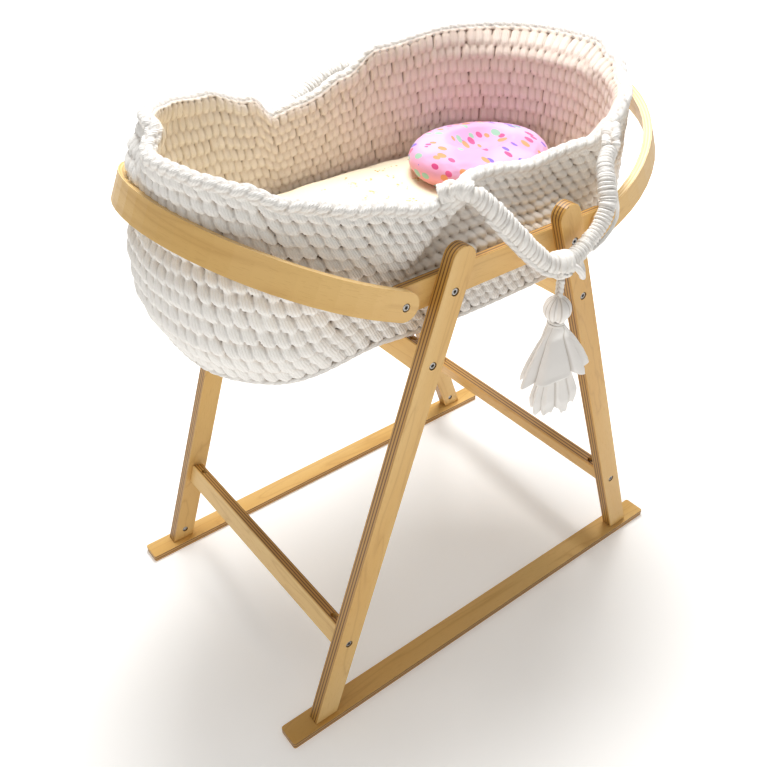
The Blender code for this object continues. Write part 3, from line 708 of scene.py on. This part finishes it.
nearHandle = {
    "route": [(-0.066, -0.2265, 0.790), (-0.050, -0.2350, 0.772), (-0.033, -0.2450, 0.752),
              (-0.014, -0.2560, 0.727), (0.006, -0.2640, 0.703), (0.028, -0.2700, 0.682),
              (0.052, -0.2720, 0.671), (0.078, -0.2715, 0.673), (0.105, -0.2690, 0.684),
              (0.130, -0.2660, 0.700), (0.148, -0.2600, 0.722), (0.158, -0.2450, 0.744),
              (0.176, -0.2250, 0.761), (0.200, -0.2115, 0.772)],
    "radius": 0.0122, "relief": 0.0026, "around": 30, "step": 0.0010, "seed": 31,
    # share along the rope: (pitch of the wraps, how far they slant round it)
    "wraps": [(0.0, 0.0078, 1.1), (0.40, 0.0074, 1.0), (0.50, 0.0056, 0.4), (1.0, 0.0050, 0.25)],
    "thick": [(0.0, 0.96), (0.08, 1.10), (0.30, 1.12), (0.44, 1.02), (0.52, 1.06), (0.60, 0.94), (1.0, 0.98)],
}
farHandle = {
    "route": [(-0.060, 0.2275, 0.757), (-0.030, 0.2400, 0.760), (0.000, 0.2470, 0.769),
              (0.040, 0.2510, 0.785), (0.080, 0.2530, 0.796), (0.120, 0.2520, 0.794),
              (0.155, 0.2450, 0.786), (0.182, 0.2300, 0.777), (0.200, 0.2115, 0.770)],
    "radius": 0.0122, "relief": 0.0020, "around": 28, "step": 0.0010, "seed": 32,
    "wraps": [(0.0, 0.0058, 0.4), (1.0, 0.0058, 0.4)],
    "thick": [(0.0, 0.98), (0.5, 1.04), (1.0, 0.98)],
}


def wrappedRope(name, look, material, body, node):
    path, marks = smoothRoute(inFrame(look["route"]), look["step"])
    side, up = sideFrames(path, up=(0.1, -0.3, 1))
    share = marks / marks[-1]
    stops = np.array(look["wraps"])
    pitch = np.interp(share, stops[:, 0], stops[:, 1])
    slant = np.interp(share, stops[:, 0], stops[:, 2])
    thick = np.interp(share, *np.array(look["thick"]).T)
    spread = np.random.default_rng(look["seed"])
    phase = np.concatenate([[0], np.cumsum(np.diff(marks) / pitch[1:])])
    wander = np.interp(phase, np.arange(int(phase[-1]) + 3), spread.uniform(-0.35, 0.35, int(phase[-1]) + 3))
    turn = np.arange(look["around"]) / look["around"] * 2 * np.pi
    # the slant swings with the sine of the turn, so the wraps stay closed rings
    p = phase[:, None] + wander[:, None] + slant[:, None] * np.sin(turn)[None, :] * 0.5
    wrap = np.floor(p)
    height = np.sqrt(np.clip(1 - (2 * (p - wrap) - 1) ** 2, 0, 1))
    lumps = spread.uniform(-1, 1, 400)[(wrap.astype(int) % 400)]
    radius = look["radius"] * thick[:, None] * (1 + 0.05 * lumps) - look["relief"] * (1 - height)
    # rounded ends, so that the rope turns in its sewn root
    ends = np.minimum(marks, marks[-1] - marks)
    cap = np.sqrt(np.clip(1 - (1 - np.clip(ends / look["radius"], 0, 1)) ** 2, 0, 1))
    radius = radius * np.maximum(cap, 0.02)[:, None]
    points = (path[:, None, :] + side[:, None, :] * (radius * np.cos(turn))[..., None]
              + up[:, None, :] * (radius * np.sin(turn))[..., None])
    points = np.concatenate([np.repeat(path[:1, None, :], len(turn), 1), points,
                             np.repeat(path[-1:, None, :], len(turn), 1)], 0)
    strand = (p - wrap) * 2 - 1
    # the wrap height also sets the yarn's painted shade in the grooves between the wraps
    mesh = gridMesh(name, points, closedU=False, closedV=True, weld=0.00001,
                    values={"puff": capped(0.25 + 0.75 * height), "strand": capped(strand),
                            "inner": 0 * capped(height)})
    obj = newObject(name, mesh, material)
    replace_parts(obj, node)
    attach(obj, body)
    return path, side, up


def tubeAlong(name, path, radius, material, body, around=10, taper=True):
    # a plain yarn end, rounded off at both ends
    path, marks = smoothRoute(path, radius * 0.6)
    side, up = sideFrames(path, up=(0.2, -0.4, 1))
    turn = np.arange(around) / around * 2 * np.pi
    ends = np.minimum(marks, marks[-1] - marks)
    cap = np.sqrt(np.clip(1 - (1 - np.clip(ends / radius, 0, 1)) ** 2, 0, 1)) if taper else 1 + 0 * marks
    ridge = 1 + 0.10 * np.cos(3 * turn[None, :] + marks[:, None] / radius * 0.8)
    r = radius * np.maximum(cap, 0.02)[:, None] * ridge
    points = (path[:, None, :] + side[:, None, :] * (r * np.cos(turn))[..., None]
              + up[:, None, :] * (r * np.sin(turn))[..., None])
    points = np.concatenate([np.repeat(path[:1, None, :], around, 1), points,
                             np.repeat(path[-1:, None, :], around, 1)], 0)
    values = {"puff": np.full(points.shape[:2], 0.8), "inner": np.zeros(points.shape[:2]),
              "strand": np.tile(turn / 3, (len(points), 1))}
    mesh = gridMesh(name, points, closedU=False, closedV=True, weld=0.00001, values=values)
    obj = newObject(name, mesh, material)
    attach(obj, body)
    return obj


edgeLook = {"radius": 0.0058, "relief": 0.0026, "pitch": 0.0125, "stepsAlong": 8, "stepsRound": 12,
            "lanes": (0.2, math.pi + 0.2), "lean": 0.40, "wide": 0.62, "span": 1.5, "seed": 33}
rootLook = {"radius": 0.0135, "relief": 0.0045, "pitch": 0.0140, "stepsAlong": 9, "stepsRound": 20,
            "lanes": (0.2 * math.pi, 0.75 * math.pi, 1.3 * math.pi, 1.8 * math.pi), "lean": 0.4,
            "wide": 0.62, "span": 0.95, "seed": 34}
knotLook = {"turns": 2.6, "radius": 0.0148, "yarn": 0.0042, "pitch": 0.0085}


def handles(material):
    path, side, up = wrappedRope("handleNearRope", nearHandle, material, "handle_near", "handle_near")
    # a worked edge runs down the lower side of the foot-side limb
    count = len(path)
    out = nearHandle["radius"] * 1.02
    edge = [path[i] - up[i] * out * 0.80 + side[i] * out * 0.62
            for i in range(int(count * 0.10), int(count * 0.46), 6)]
    chainCord("handleNearEdge", np.array(edge), False, edgeLook, material, "handle_near")
    # a loose strand lies along the head-side limb
    strand = [path[i] + side[i] * out * (0.85 + 0.45 * math.sin(math.pi * k / 9)) - up[i] * out * 0.25
              for k, i in enumerate(np.linspace(count * 0.60, count * 0.93, 10).astype(int))]
    tubeAlong("handleNearStrand", strand, 0.0026, material, "handle_near")
    # the knot over the tassel
    middle = int(count * 0.468)
    axis = path[middle + 4] - path[middle - 4]
    axis /= np.linalg.norm(axis)
    look = knotLook
    coil = []
    for k in range(int(look["turns"] * 14) + 1):
        t = k / 14
        angle = 2 * math.pi * t
        along = (t / look["turns"] - 0.5) * look["pitch"] * look["turns"]
        coil.append(path[middle] + axis * along + side[middle] * look["radius"] * math.cos(angle)
                    + up[middle] * look["radius"] * math.sin(angle))
    tubeAlong("handleNearKnot", coil, look["yarn"], material, "handle_near", around=12)
    # one loop of the knot hangs beside the tassel
    loop = inFrame([(0.056, -0.284, 0.676), (0.067, -0.290, 0.668), (0.078, -0.290, 0.656),
                    (0.084, -0.286, 0.649), (0.088, -0.280, 0.656), (0.086, -0.276, 0.668),
                    (0.076, -0.274, 0.680)])
    tubeAlong("handleNearLoop", loop, 0.0042, material, "handle_near", around=12)
    wrappedRope("handleFarRope", farHandle, material, "handle_far", "handle_far")
    # each rope is sewn into the rim with a short thick plait
    roots = {
        "NearFoot": [(-0.094, -0.203, 0.784), (-0.084, -0.212, 0.790), (-0.074, -0.220, 0.791),
                     (-0.066, -0.2265, 0.788)],
        "NearHead": [(0.222, -0.190, 0.788), (0.214, -0.198, 0.784), (0.206, -0.206, 0.778),
                     (0.200, -0.2115, 0.772)],
        "FarFoot": [(-0.072, 0.206, 0.766), (-0.068, 0.214, 0.763), (-0.064, 0.221, 0.760),
                    (-0.060, 0.2265, 0.758)],
        "FarHead": [(0.214, 0.188, 0.786), (0.210, 0.196, 0.782), (0.205, 0.204, 0.776),
                    (0.200, 0.2110, 0.771)],
    }
    for name, route in roots.items():
        path = smoothRoute(inFrame(route), 0.002)[0]
        chainCord(f"handleRoot{name}", path, False, rootLook, material, "basket")


handles(plainYarn)
print("handles wrapped")


# tassel: knitted cotton jersey cut into strips, gathered and tied; soft, matt, edges curling, and darker in
# its folds, a painted shade
# fold: painted shade deep in the folds of the cloth
jerseyLook = {"colour": "#F8F5F1", "fold": "#A89A8B", "knit": 0.0012}


def cottonJersey(name, look):
    material, tree, shader = newMaterial(name, {"Roughness": 0.82, "IOR": 1.46, "Sheen Weight": 0.2,
                                                "Sheen Roughness": 0.5})
    coords = addNode(tree, "ShaderNodeTexCoord")
    puff = addNode(tree, "ShaderNodeAttribute", {"attribute_name": "puff"})
    # the shade value of the head and skirts picks painted shade in the folds and the plain colour on their
    # ridges
    colour = ramp(tree, puff.outputs["Fac"], [(0.1, look["fold"]), (0.65, look["colour"])])
    tree.links.new(colour.outputs[0], shader.inputs["Base Color"])
    knit = addNode(tree, "ShaderNodeTexWave", {"Scale": 1 / look["knit"] / 6.283, "Distortion": 1.5,
                                               "bands_direction": "X"}, {"Vector": coords.outputs["Object"]})
    cloud = addNode(tree, "ShaderNodeTexNoise", {"Scale": 160.0, "Detail": 3.0},
                    {"Vector": coords.outputs["Object"]})
    total = addNode(tree, "ShaderNodeMath", {"operation": "MULTIPLY_ADD", 1: 0.35},
                    {0: knit.outputs["Fac"], 2: cloud.outputs["Fac"]})
    bump = addNode(tree, "ShaderNodeBump", {"Strength": 0.30, "Distance": 0.0006},
                   {"Height": total.outputs[0]})
    tree.links.new(bump.outputs[0], shader.inputs["Normal"])
    return material


tasselLook = {
    "top": (0.052, -0.277, 0.652), "flat": 0.48, "lean": 0.10, "cloth": 0.0011,
    "neck": {"radius": 0.0058, "length": 0.0262},
    # bundle and crease: how far out or in, at what turn, how wide
    "head": {"drop": 0.0440, "radius": 0.0190, "folds": 13,
             "bundle": (1.2, 4.40, 0.34), "crease": (2.6, 3.86, 0.13)},
    "skirtGrid": (300, 46),     # columns round, rows down
    "tie": {"drop": 0.0640, "radius": 0.0105},
    "upper": {"from": 0.0640, "to": 0.144,
              "radii": [(0, 0.0095), (0.10, 0.0150), (0.35, 0.0290), (0.7, 0.0470), (1, 0.0590)],
              "folds": 8, "depth": 0.36, "hem": 0.011, "seed": 41, "ragged": 0.0},
    "lower": {"from": 0.110, "to": 0.204,
              "radii": [(0, 0.012), (0.35, 0.026), (0.8, 0.041), (1, 0.040)],
              "folds": 7, "depth": 0.26, "hem": 0.007, "seed": 42, "ragged": 0.0050},
}


def gatheredSkirt(name, look, material, node):
    top = Vector(tasselLook["top"]) + shift
    columns, rows = tasselLook["skirtGrid"]
    spread = np.random.default_rng(look["seed"])
    turn = np.arange(columns) / columns * 2 * np.pi
    t = np.linspace(0, 1, rows)
    # folds of uneven width: the turn is warped before the pleats are cut into it
    warp = turn + sum(spread.uniform(-0.35, 0.35) / k * np.sin(k * turn + spread.uniform(0, 6))
                      for k in (1, 2, 3))
    pleat = 1 - 2 * np.abs(np.sin(look["folds"] * warp / 2)) ** 0.75
    small = np.sin(look["folds"] * 2.0 * warp + 1.3) * 0.22
    wave = -(pleat + small * np.sin(3 * turn))
    hem = look["hem"] * (np.sin(2 * turn + spread.uniform(0, 6)) * 0.6
                         + np.sin(3 * turn + spread.uniform(0, 6)) * 0.4)
    hem += look["hem"] * 0.35 * wave
    if look["ragged"]:
        cuts = np.interp(np.arange(columns), np.linspace(0, columns, 61), spread.uniform(-1, 1, 61))
        hem = hem + look["ragged"] * cuts
    base = np.interp(t, *np.array(look["radii"]).T)
    depth = look["depth"] * ease(t, 0.0, 0.45) * (1 - 0.15 * t)
    radius = base[None, :] * (1 + depth[None, :] * 0.5 * (wave[:, None] - 0.35))
    radius = radius + 0.0025 * ease(t, 0.9, 1.0)[None, :] * np.sin(2 * turn)[:, None]
    drop = look["from"] + (look["to"] + hem[:, None] - look["from"]) * t[None, :]

    def surface(inset):
        r = radius - inset
        x = r * np.cos(turn)[:, None]
        flat = tasselLook["flat"] + (1 - tasselLook["flat"]) * (1 - ease(t, 0, 0.3))
        y = r * np.sin(turn)[:, None] * flat[None, :]
        return np.stack([x + top.x + tasselLook["lean"] * (drop - 0.06), y + top.y, top.z - drop], -1)

    outer, inside = surface(0.0), surface(tasselLook["cloth"])
    points = np.concatenate([outer[:, ::-1], inside], 1)
    shade = np.concatenate([np.tile(0.5 + 0.5 * wave[:, None], (1, rows))] * 2, 1)
    mesh = gridMesh(name, points, closedU=True, closedV=True,
                    values={"puff": np.clip(shade * 0.7 + 0.35, 0, 1)})
    obj = newObject(name, mesh, material)
    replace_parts(obj, node)
    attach(obj, "tassel")
    return obj


def tassel(look, cloth, yarn):
    top = np.array(Vector(look["top"]) + shift)
    neck = look["neck"]
    path = np.array([top - (0, 0, neck["length"] * k / 12) for k in range(13)])
    neckChain = dict(edgeLook, radius=neck["radius"], relief=0.0018, pitch=0.0065, seed=43, stepsAlong=6,
                     up=(1, 0, 0))
    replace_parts(chainCord("tasselNeck", path, False, neckChain, yarn, "tassel"), "tassel_neck")
    # the head: cloth gathered over a ball, its folds closing at top and bottom
    head = look["head"]
    turn = np.arange(144) / 144 * 2 * np.pi
    down = np.linspace(0.02, math.pi - 0.05, 40)
    fold = 1 - 2 * np.abs(np.sin(head["folds"] * (turn + 0.2 * np.sin(2 * turn)) / 2)) ** 0.6
    # one bundle of the cloth stands out at the front, beside a deep crease
    out, bundleAt, bundleWide = head["bundle"]
    deep, creaseAt, creaseWide = head["crease"]
    seam = (out * np.exp(-((turn - bundleAt) / bundleWide) ** 2)
            - deep * np.exp(-((turn - creaseAt) / creaseWide) ** 2))
    depth = 0.045 * (0.35 + ease(np.abs(down - math.pi / 2), 0.6, 1.5))
    r = head["radius"] * (1 - depth[None, :] * (fold[:, None] + 0.5)
                          + 0.08 * seam[:, None] * np.sin(down)[None, :])
    z = top[2] - head["drop"] + r * np.cos(down)[None, :]
    points = np.stack([top[0] + r * (np.sin(down) * np.cos(turn)[:, None]),
                       top[1] + r * (np.sin(down) * np.sin(turn)[:, None]), z], -1)
    poles = points.mean(0, keepdims=True)
    points[:, 0], points[:, -1] = poles[:, 0], poles[:, -1]
    shade = np.clip(0.55 - 0.35 * fold[:, None] + 0 * down[None, :], 0, 1)
    mesh = gridMesh("tasselHead", points[:, ::-1], values={"puff": shade}, weld=0.00002)
    obj = newObject("tasselHead", mesh, cloth)
    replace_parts(obj, "tassel_head")
    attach(obj, "tassel")
    # thin yarn tied under the head
    tie = look["tie"]
    coil = [(top[0] + tie["radius"] * math.cos(k * 0.45), top[1] + tie["radius"] * math.sin(k * 0.45),
             top[2] - tie["drop"] + 0.0045 - 0.0003 * k) for k in range(34)]
    tubeAlong("tasselTie", coil, 0.0016, yarn, "tassel", around=8)
    gatheredSkirt("tasselSkirtUpper", look["upper"], cloth, "tassel_skirt_upper")
    gatheredSkirt("tasselSkirtLower", look["lower"], cloth, "tassel_skirt_lower")


jersey = cottonJersey("cottonJersey", jerseyLook)
tassel(tasselLook, jersey, plainYarn)
print("tassel tied")


# stuffed pieces: a closed form, remeshed and blown up a little as cloth
def puffed(name, mesh, look):
    obj = bpy.data.objects.new(name, mesh)
    bpy.context.scene.collection.objects.link(obj)
    remesh = obj.modifiers.new("even", "REMESH")
    remesh.mode = "VOXEL"
    remesh.voxel_size = look["voxel"]
    depsgraph = bpy.context.evaluated_depsgraph_get()
    even = bpy.data.meshes.new_from_object(obj.evaluated_get(depsgraph))
    obj.modifiers.remove(remesh)
    obj.data = even
    start = np.array([v.co for v in even.vertices])
    cloth = obj.modifiers.new("cloth", "CLOTH")
    cloth.settings.use_pressure = True
    cloth.settings.uniform_pressure_force = look["pressure"]
    cloth.settings.effector_weights.gravity = 0
    cloth.settings.tension_stiffness = look["stiff"]
    cloth.settings.compression_stiffness = look["stiff"]
    cloth.settings.quality = 5
    cloth.point_cache.frame_start = 1
    cloth.point_cache.frame_end = 20
    for step in range(1, 21):
        bpy.context.scene.frame_set(step)
    depsgraph = bpy.context.evaluated_depsgraph_get()
    blown = bpy.data.meshes.new_from_object(obj.evaluated_get(depsgraph))
    obj.modifiers.remove(cloth)
    bpy.context.scene.frame_set(1)
    moved = np.array([v.co for v in blown.vertices]) - start
    length = np.linalg.norm(moved, axis=1, keepdims=True)
    moved *= np.minimum(1, look["cap"] / np.maximum(length, 1e-9))
    end = start + moved
    end[:, 2] = np.clip(end[:, 2], look["floor"], look["roof"])
    blown.vertices.foreach_set("co", end.ravel())
    blown.update()
    obj.data = blown
    smooth = obj.modifiers.new("smooth", "SUBSURF")
    smooth.levels = 1
    smooth.render_levels = 1
    return obj


# printed cotton percale: a plain weave, cream white, with small golden sprigs scattered over it
mattressLook = {"inset": 0.0245, "edge": 0.012, "voxel": 0.006, "pressure": 3.0, "stiff": 15.0, "cap": 0.005,
                "ground": "#F2E7CC", "sprig": "#C58F2C", "leaf": "#D3A84C", "cell": 0.030, "leafSize": 0.0058,
                "thread": 0.0011}


def printedCotton(look):
    material, tree, shader = newMaterial("printedCottonPercale", {"Roughness": 0.8, "IOR": 1.46,
                                                                  "Sheen Weight": 0.1})
    place = addNode(tree, "ShaderNodeTexCoord").outputs["Object"]
    # a sprig is a few small dabs that stay near the middle of a large cell
    cell = addNode(tree, "ShaderNodeTexVoronoi", {"Scale": 1 / look["cell"], "Randomness": 0.7},
                   {"Vector": place})
    dab = addNode(tree, "ShaderNodeTexVoronoi", {"Scale": 1 / look["leafSize"], "Randomness": 1.0},
                  {"Vector": place})
    near = addNode(tree, "ShaderNodeMath", {"operation": "LESS_THAN", 1: 0.33}, {0: cell.outputs["Distance"]})
    small = addNode(tree, "ShaderNodeMath", {"operation": "LESS_THAN", 1: 0.34}, {0: dab.outputs["Distance"]})
    both = addNode(tree, "ShaderNodeMath", {"operation": "MULTIPLY"},
                   {0: near.outputs[0], 1: small.outputs[0]})
    soft = addNode(tree, "ShaderNodeMath", {"operation": "MULTIPLY", 1: 0.85}, {0: both.outputs[0]})
    ink = ramp(tree, dab.outputs["Color"], [(0.3, look["sprig"]), (0.7, look["leaf"])])
    mixed = addNode(tree, "ShaderNodeMix", {"data_type": "RGBA", 6: rgb(look["ground"])},
                    {0: soft.outputs[0], 7: ink.outputs[0]})
    tree.links.new(mixed.outputs[2], shader.inputs["Base Color"])
    weave = addNode(tree, "ShaderNodeTexChecker", {"Scale": 1 / look["thread"]}, {"Vector": place})
    crumple = addNode(tree, "ShaderNodeTexNoise", {"Scale": 22.0, "Detail": 4.0, "Distortion": 0.6},
                      {"Vector": place})
    total = addNode(tree, "ShaderNodeMath", {"operation": "MULTIPLY_ADD", 1: 0.03},
                    {0: weave.outputs["Fac"], 2: crumple.outputs["Fac"]})
    bump = addNode(tree, "ShaderNodeBump", {"Strength": 0.5, "Distance": 0.004}, {"Height": total.outputs[0]})
    tree.links.new(bump.outputs[0], shader.inputs["Normal"])
    return material


def mattress(look, material):
    low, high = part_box("mattress")
    angles = np.arange(120) / 120 * 2 * np.pi
    rings = []
    edge = look["edge"]
    bottom, top = low.z + 0.001, high.z - 0.004
    profile = [(0.19, bottom), (0.10, bottom), (edge, bottom)]
    profile += [(edge * (1 - math.sin(a)), bottom + edge * (1 - math.cos(a)))
                for a in (0.5, 1.0, math.pi / 2)]
    profile += [(edge * (1 - math.cos(a)), top - edge * (1 - math.sin(a)))
                for a in (0.0, 0.6, 1.1, math.pi / 2)]
    profile += [(0.10, top), (0.19, top)]
    for inset, z in profile:
        x, y = planPoint(angles, inset + look["inset"] - 0.002)
        rings.append(np.stack([x + shift.x, y + shift.y, np.full(x.shape, z)], -1))
    points = np.stack(rings, 1)
    points[:, 0, 1] = points[:, -1, 1] = shift.y
    mesh = gridMesh("mattressForm", points, weld=0.0001)
    look = dict(look, floor=low.z, roof=high.z)
    obj = puffed("mattressPad", mesh, look)
    paint(obj, material)
    obj.data.shade_smooth()
    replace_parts(obj, "mattress")
    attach(obj, "mattress")


# brushed cotton jersey, stuffed and tight: pink icing colour with small printed dabs, and a painted lilac
# highlight over the top
pillowLook = {"radii": (0.116, 0.106), "tube": 0.0235, "voxel": 0.005, "pressure": 4.0, "stiff": 15.0,
              "cap": 0.006,
              "dimple": (0.002, 0.010), "deep": 0.038,
              "pink": "#EBA6CB", "lilacHighlight": "#DDBDEE", "peach": "#F4A08F", "dabs": 0.016,
              "inks": ["#8468D2", "#E2588F", "#EE9B68", "#9CC6AE", "#CF3F80"]}


def printedJersey(look, low, high):
    surface = {"Roughness": 0.72, "IOR": 1.46, "Sheen Weight": 0.35, "Sheen Roughness": 0.4}
    material, tree, shader = newMaterial("brushedCottonJersey", surface)
    place = addNode(tree, "ShaderNodeTexCoord").outputs["Object"]
    split = addNode(tree, "ShaderNodeSeparateXYZ", links={"Vector": place})
    rise = addNode(tree, "ShaderNodeMapRange", {"From Min": low.z, "From Max": high.z - 0.006},
                   {"Value": split.outputs["Z"]})
    # peach low on the sides, pink on top; the sunk dimple turns peachier too, a painted shade there
    body = ramp(tree, rise.outputs[0], [(0.15, look["peach"]), (0.75, look["pink"])])
    # painted highlight: lilac in soft patches, stronger towards the top
    cloud = addNode(tree, "ShaderNodeTexNoise", {"Scale": 14.0, "Detail": 1.0}, {"Vector": place})
    lilacHighlight = addNode(tree, "ShaderNodeMapRange", {"From Min": 0.42, "From Max": 0.62, "To Max": 0.85},
                    {"Value": cloud.outputs["Fac"]})
    top = addNode(tree, "ShaderNodeMath", {"operation": "MULTIPLY"},
                  {0: lilacHighlight.outputs[0], 1: rise.outputs[0]})
    final = addNode(tree, "ShaderNodeMix", {"data_type": "RGBA", 7: rgb(look["lilacHighlight"])},
                    {0: top.outputs[0], 6: body.outputs[0]}).outputs[2]
    # two scatters of long dabs, one lying each way
    for turn, size in ((0.7, 1.0), (-0.5, 1.25)):
        laid = addNode(tree, "ShaderNodeMapping", {"Rotation": (0.0, 0.0, turn), "Scale": (1.0, 0.5, 0.8)},
                       {"Vector": place})
        cells = addNode(tree, "ShaderNodeTexVoronoi", {"Scale": 1 / (look["dabs"] * size), "Randomness": 0.9},
                        {"Vector": laid.outputs[0]})
        dab = addNode(tree, "ShaderNodeMath", {"operation": "LESS_THAN", 1: 0.25},
                      {0: cells.outputs["Distance"]})
        inks = ramp(tree, cells.outputs["Color"], [((k + 0.2) / len(look["inks"]), c)
                                                   for k, c in enumerate(look["inks"])])
        inks.color_ramp.interpolation = "CONSTANT"
        final = addNode(tree, "ShaderNodeMix", {"data_type": "RGBA"},
                        {0: dab.outputs[0], 6: final, 7: inks.outputs[0]}).outputs[2]
    tree.links.new(final, shader.inputs["Base Color"])
    fuzz = addNode(tree, "ShaderNodeTexNoise", {"Scale": 900.0, "Detail": 2.0}, {"Vector": place})
    bump = addNode(tree, "ShaderNodeBump", {"Strength": 0.25, "Distance": 0.0005},
                   {"Height": fuzz.outputs["Fac"]})
    tree.links.new(bump.outputs[0], shader.inputs["Normal"])
    return material


def pillow(look):
    low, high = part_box("pillow")
    centre = (low + high) / 2
    turn = np.arange(72) / 72 * 2 * np.pi
    tube = look["tube"]
    ring = look["radii"][0] - tube
    form = [(0.0, 0.0), (ring * 0.5, 0.0), (ring, 0.0)]
    form += [(ring + tube * math.cos(a), tube + tube * math.sin(a)) for a in np.linspace(-1.2, 1.5, 9)]
    # the stuffing rises in a ring round the tied-down middle
    form += [(ring * share, 2 * tube - look["deep"] * (1 - share / 0.62) ** 0.9 if share < 0.62 else 2 * tube)
             for share in (0.80, 0.62, 0.50, 0.40, 0.30, 0.22, 0.14, 0.07, 0.0)]
    rings = []
    for radius, z in form:
        # the dimple sits a little off the middle
        pull = max(0.0, 1 - radius / ring) if z > tube else 0.0
        x = centre.x + radius * np.cos(turn) + look["dimple"][0] * pull
        y = centre.y + radius * np.sin(turn) * look["radii"][1] / look["radii"][0] + look["dimple"][1] * pull
        rings.append(np.stack([x, y, np.full(x.shape, low.z + 0.0006 + z)], -1))
    mesh = gridMesh("pillowForm", np.stack(rings, 1), weld=0.0001)
    obj = puffed("pillowRing", mesh, dict(look, floor=low.z, roof=high.z + 0.003))
    paint(obj, printedJersey(look, low, high))
    obj.data.shade_smooth()
    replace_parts(obj, "pillow")
    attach(obj, "pillow")


mattress(mattressLook, printedCotton(mattressLook))
pillow(pillowLook)
print("bedding stuffed")

bpy.context.view_layer.update()
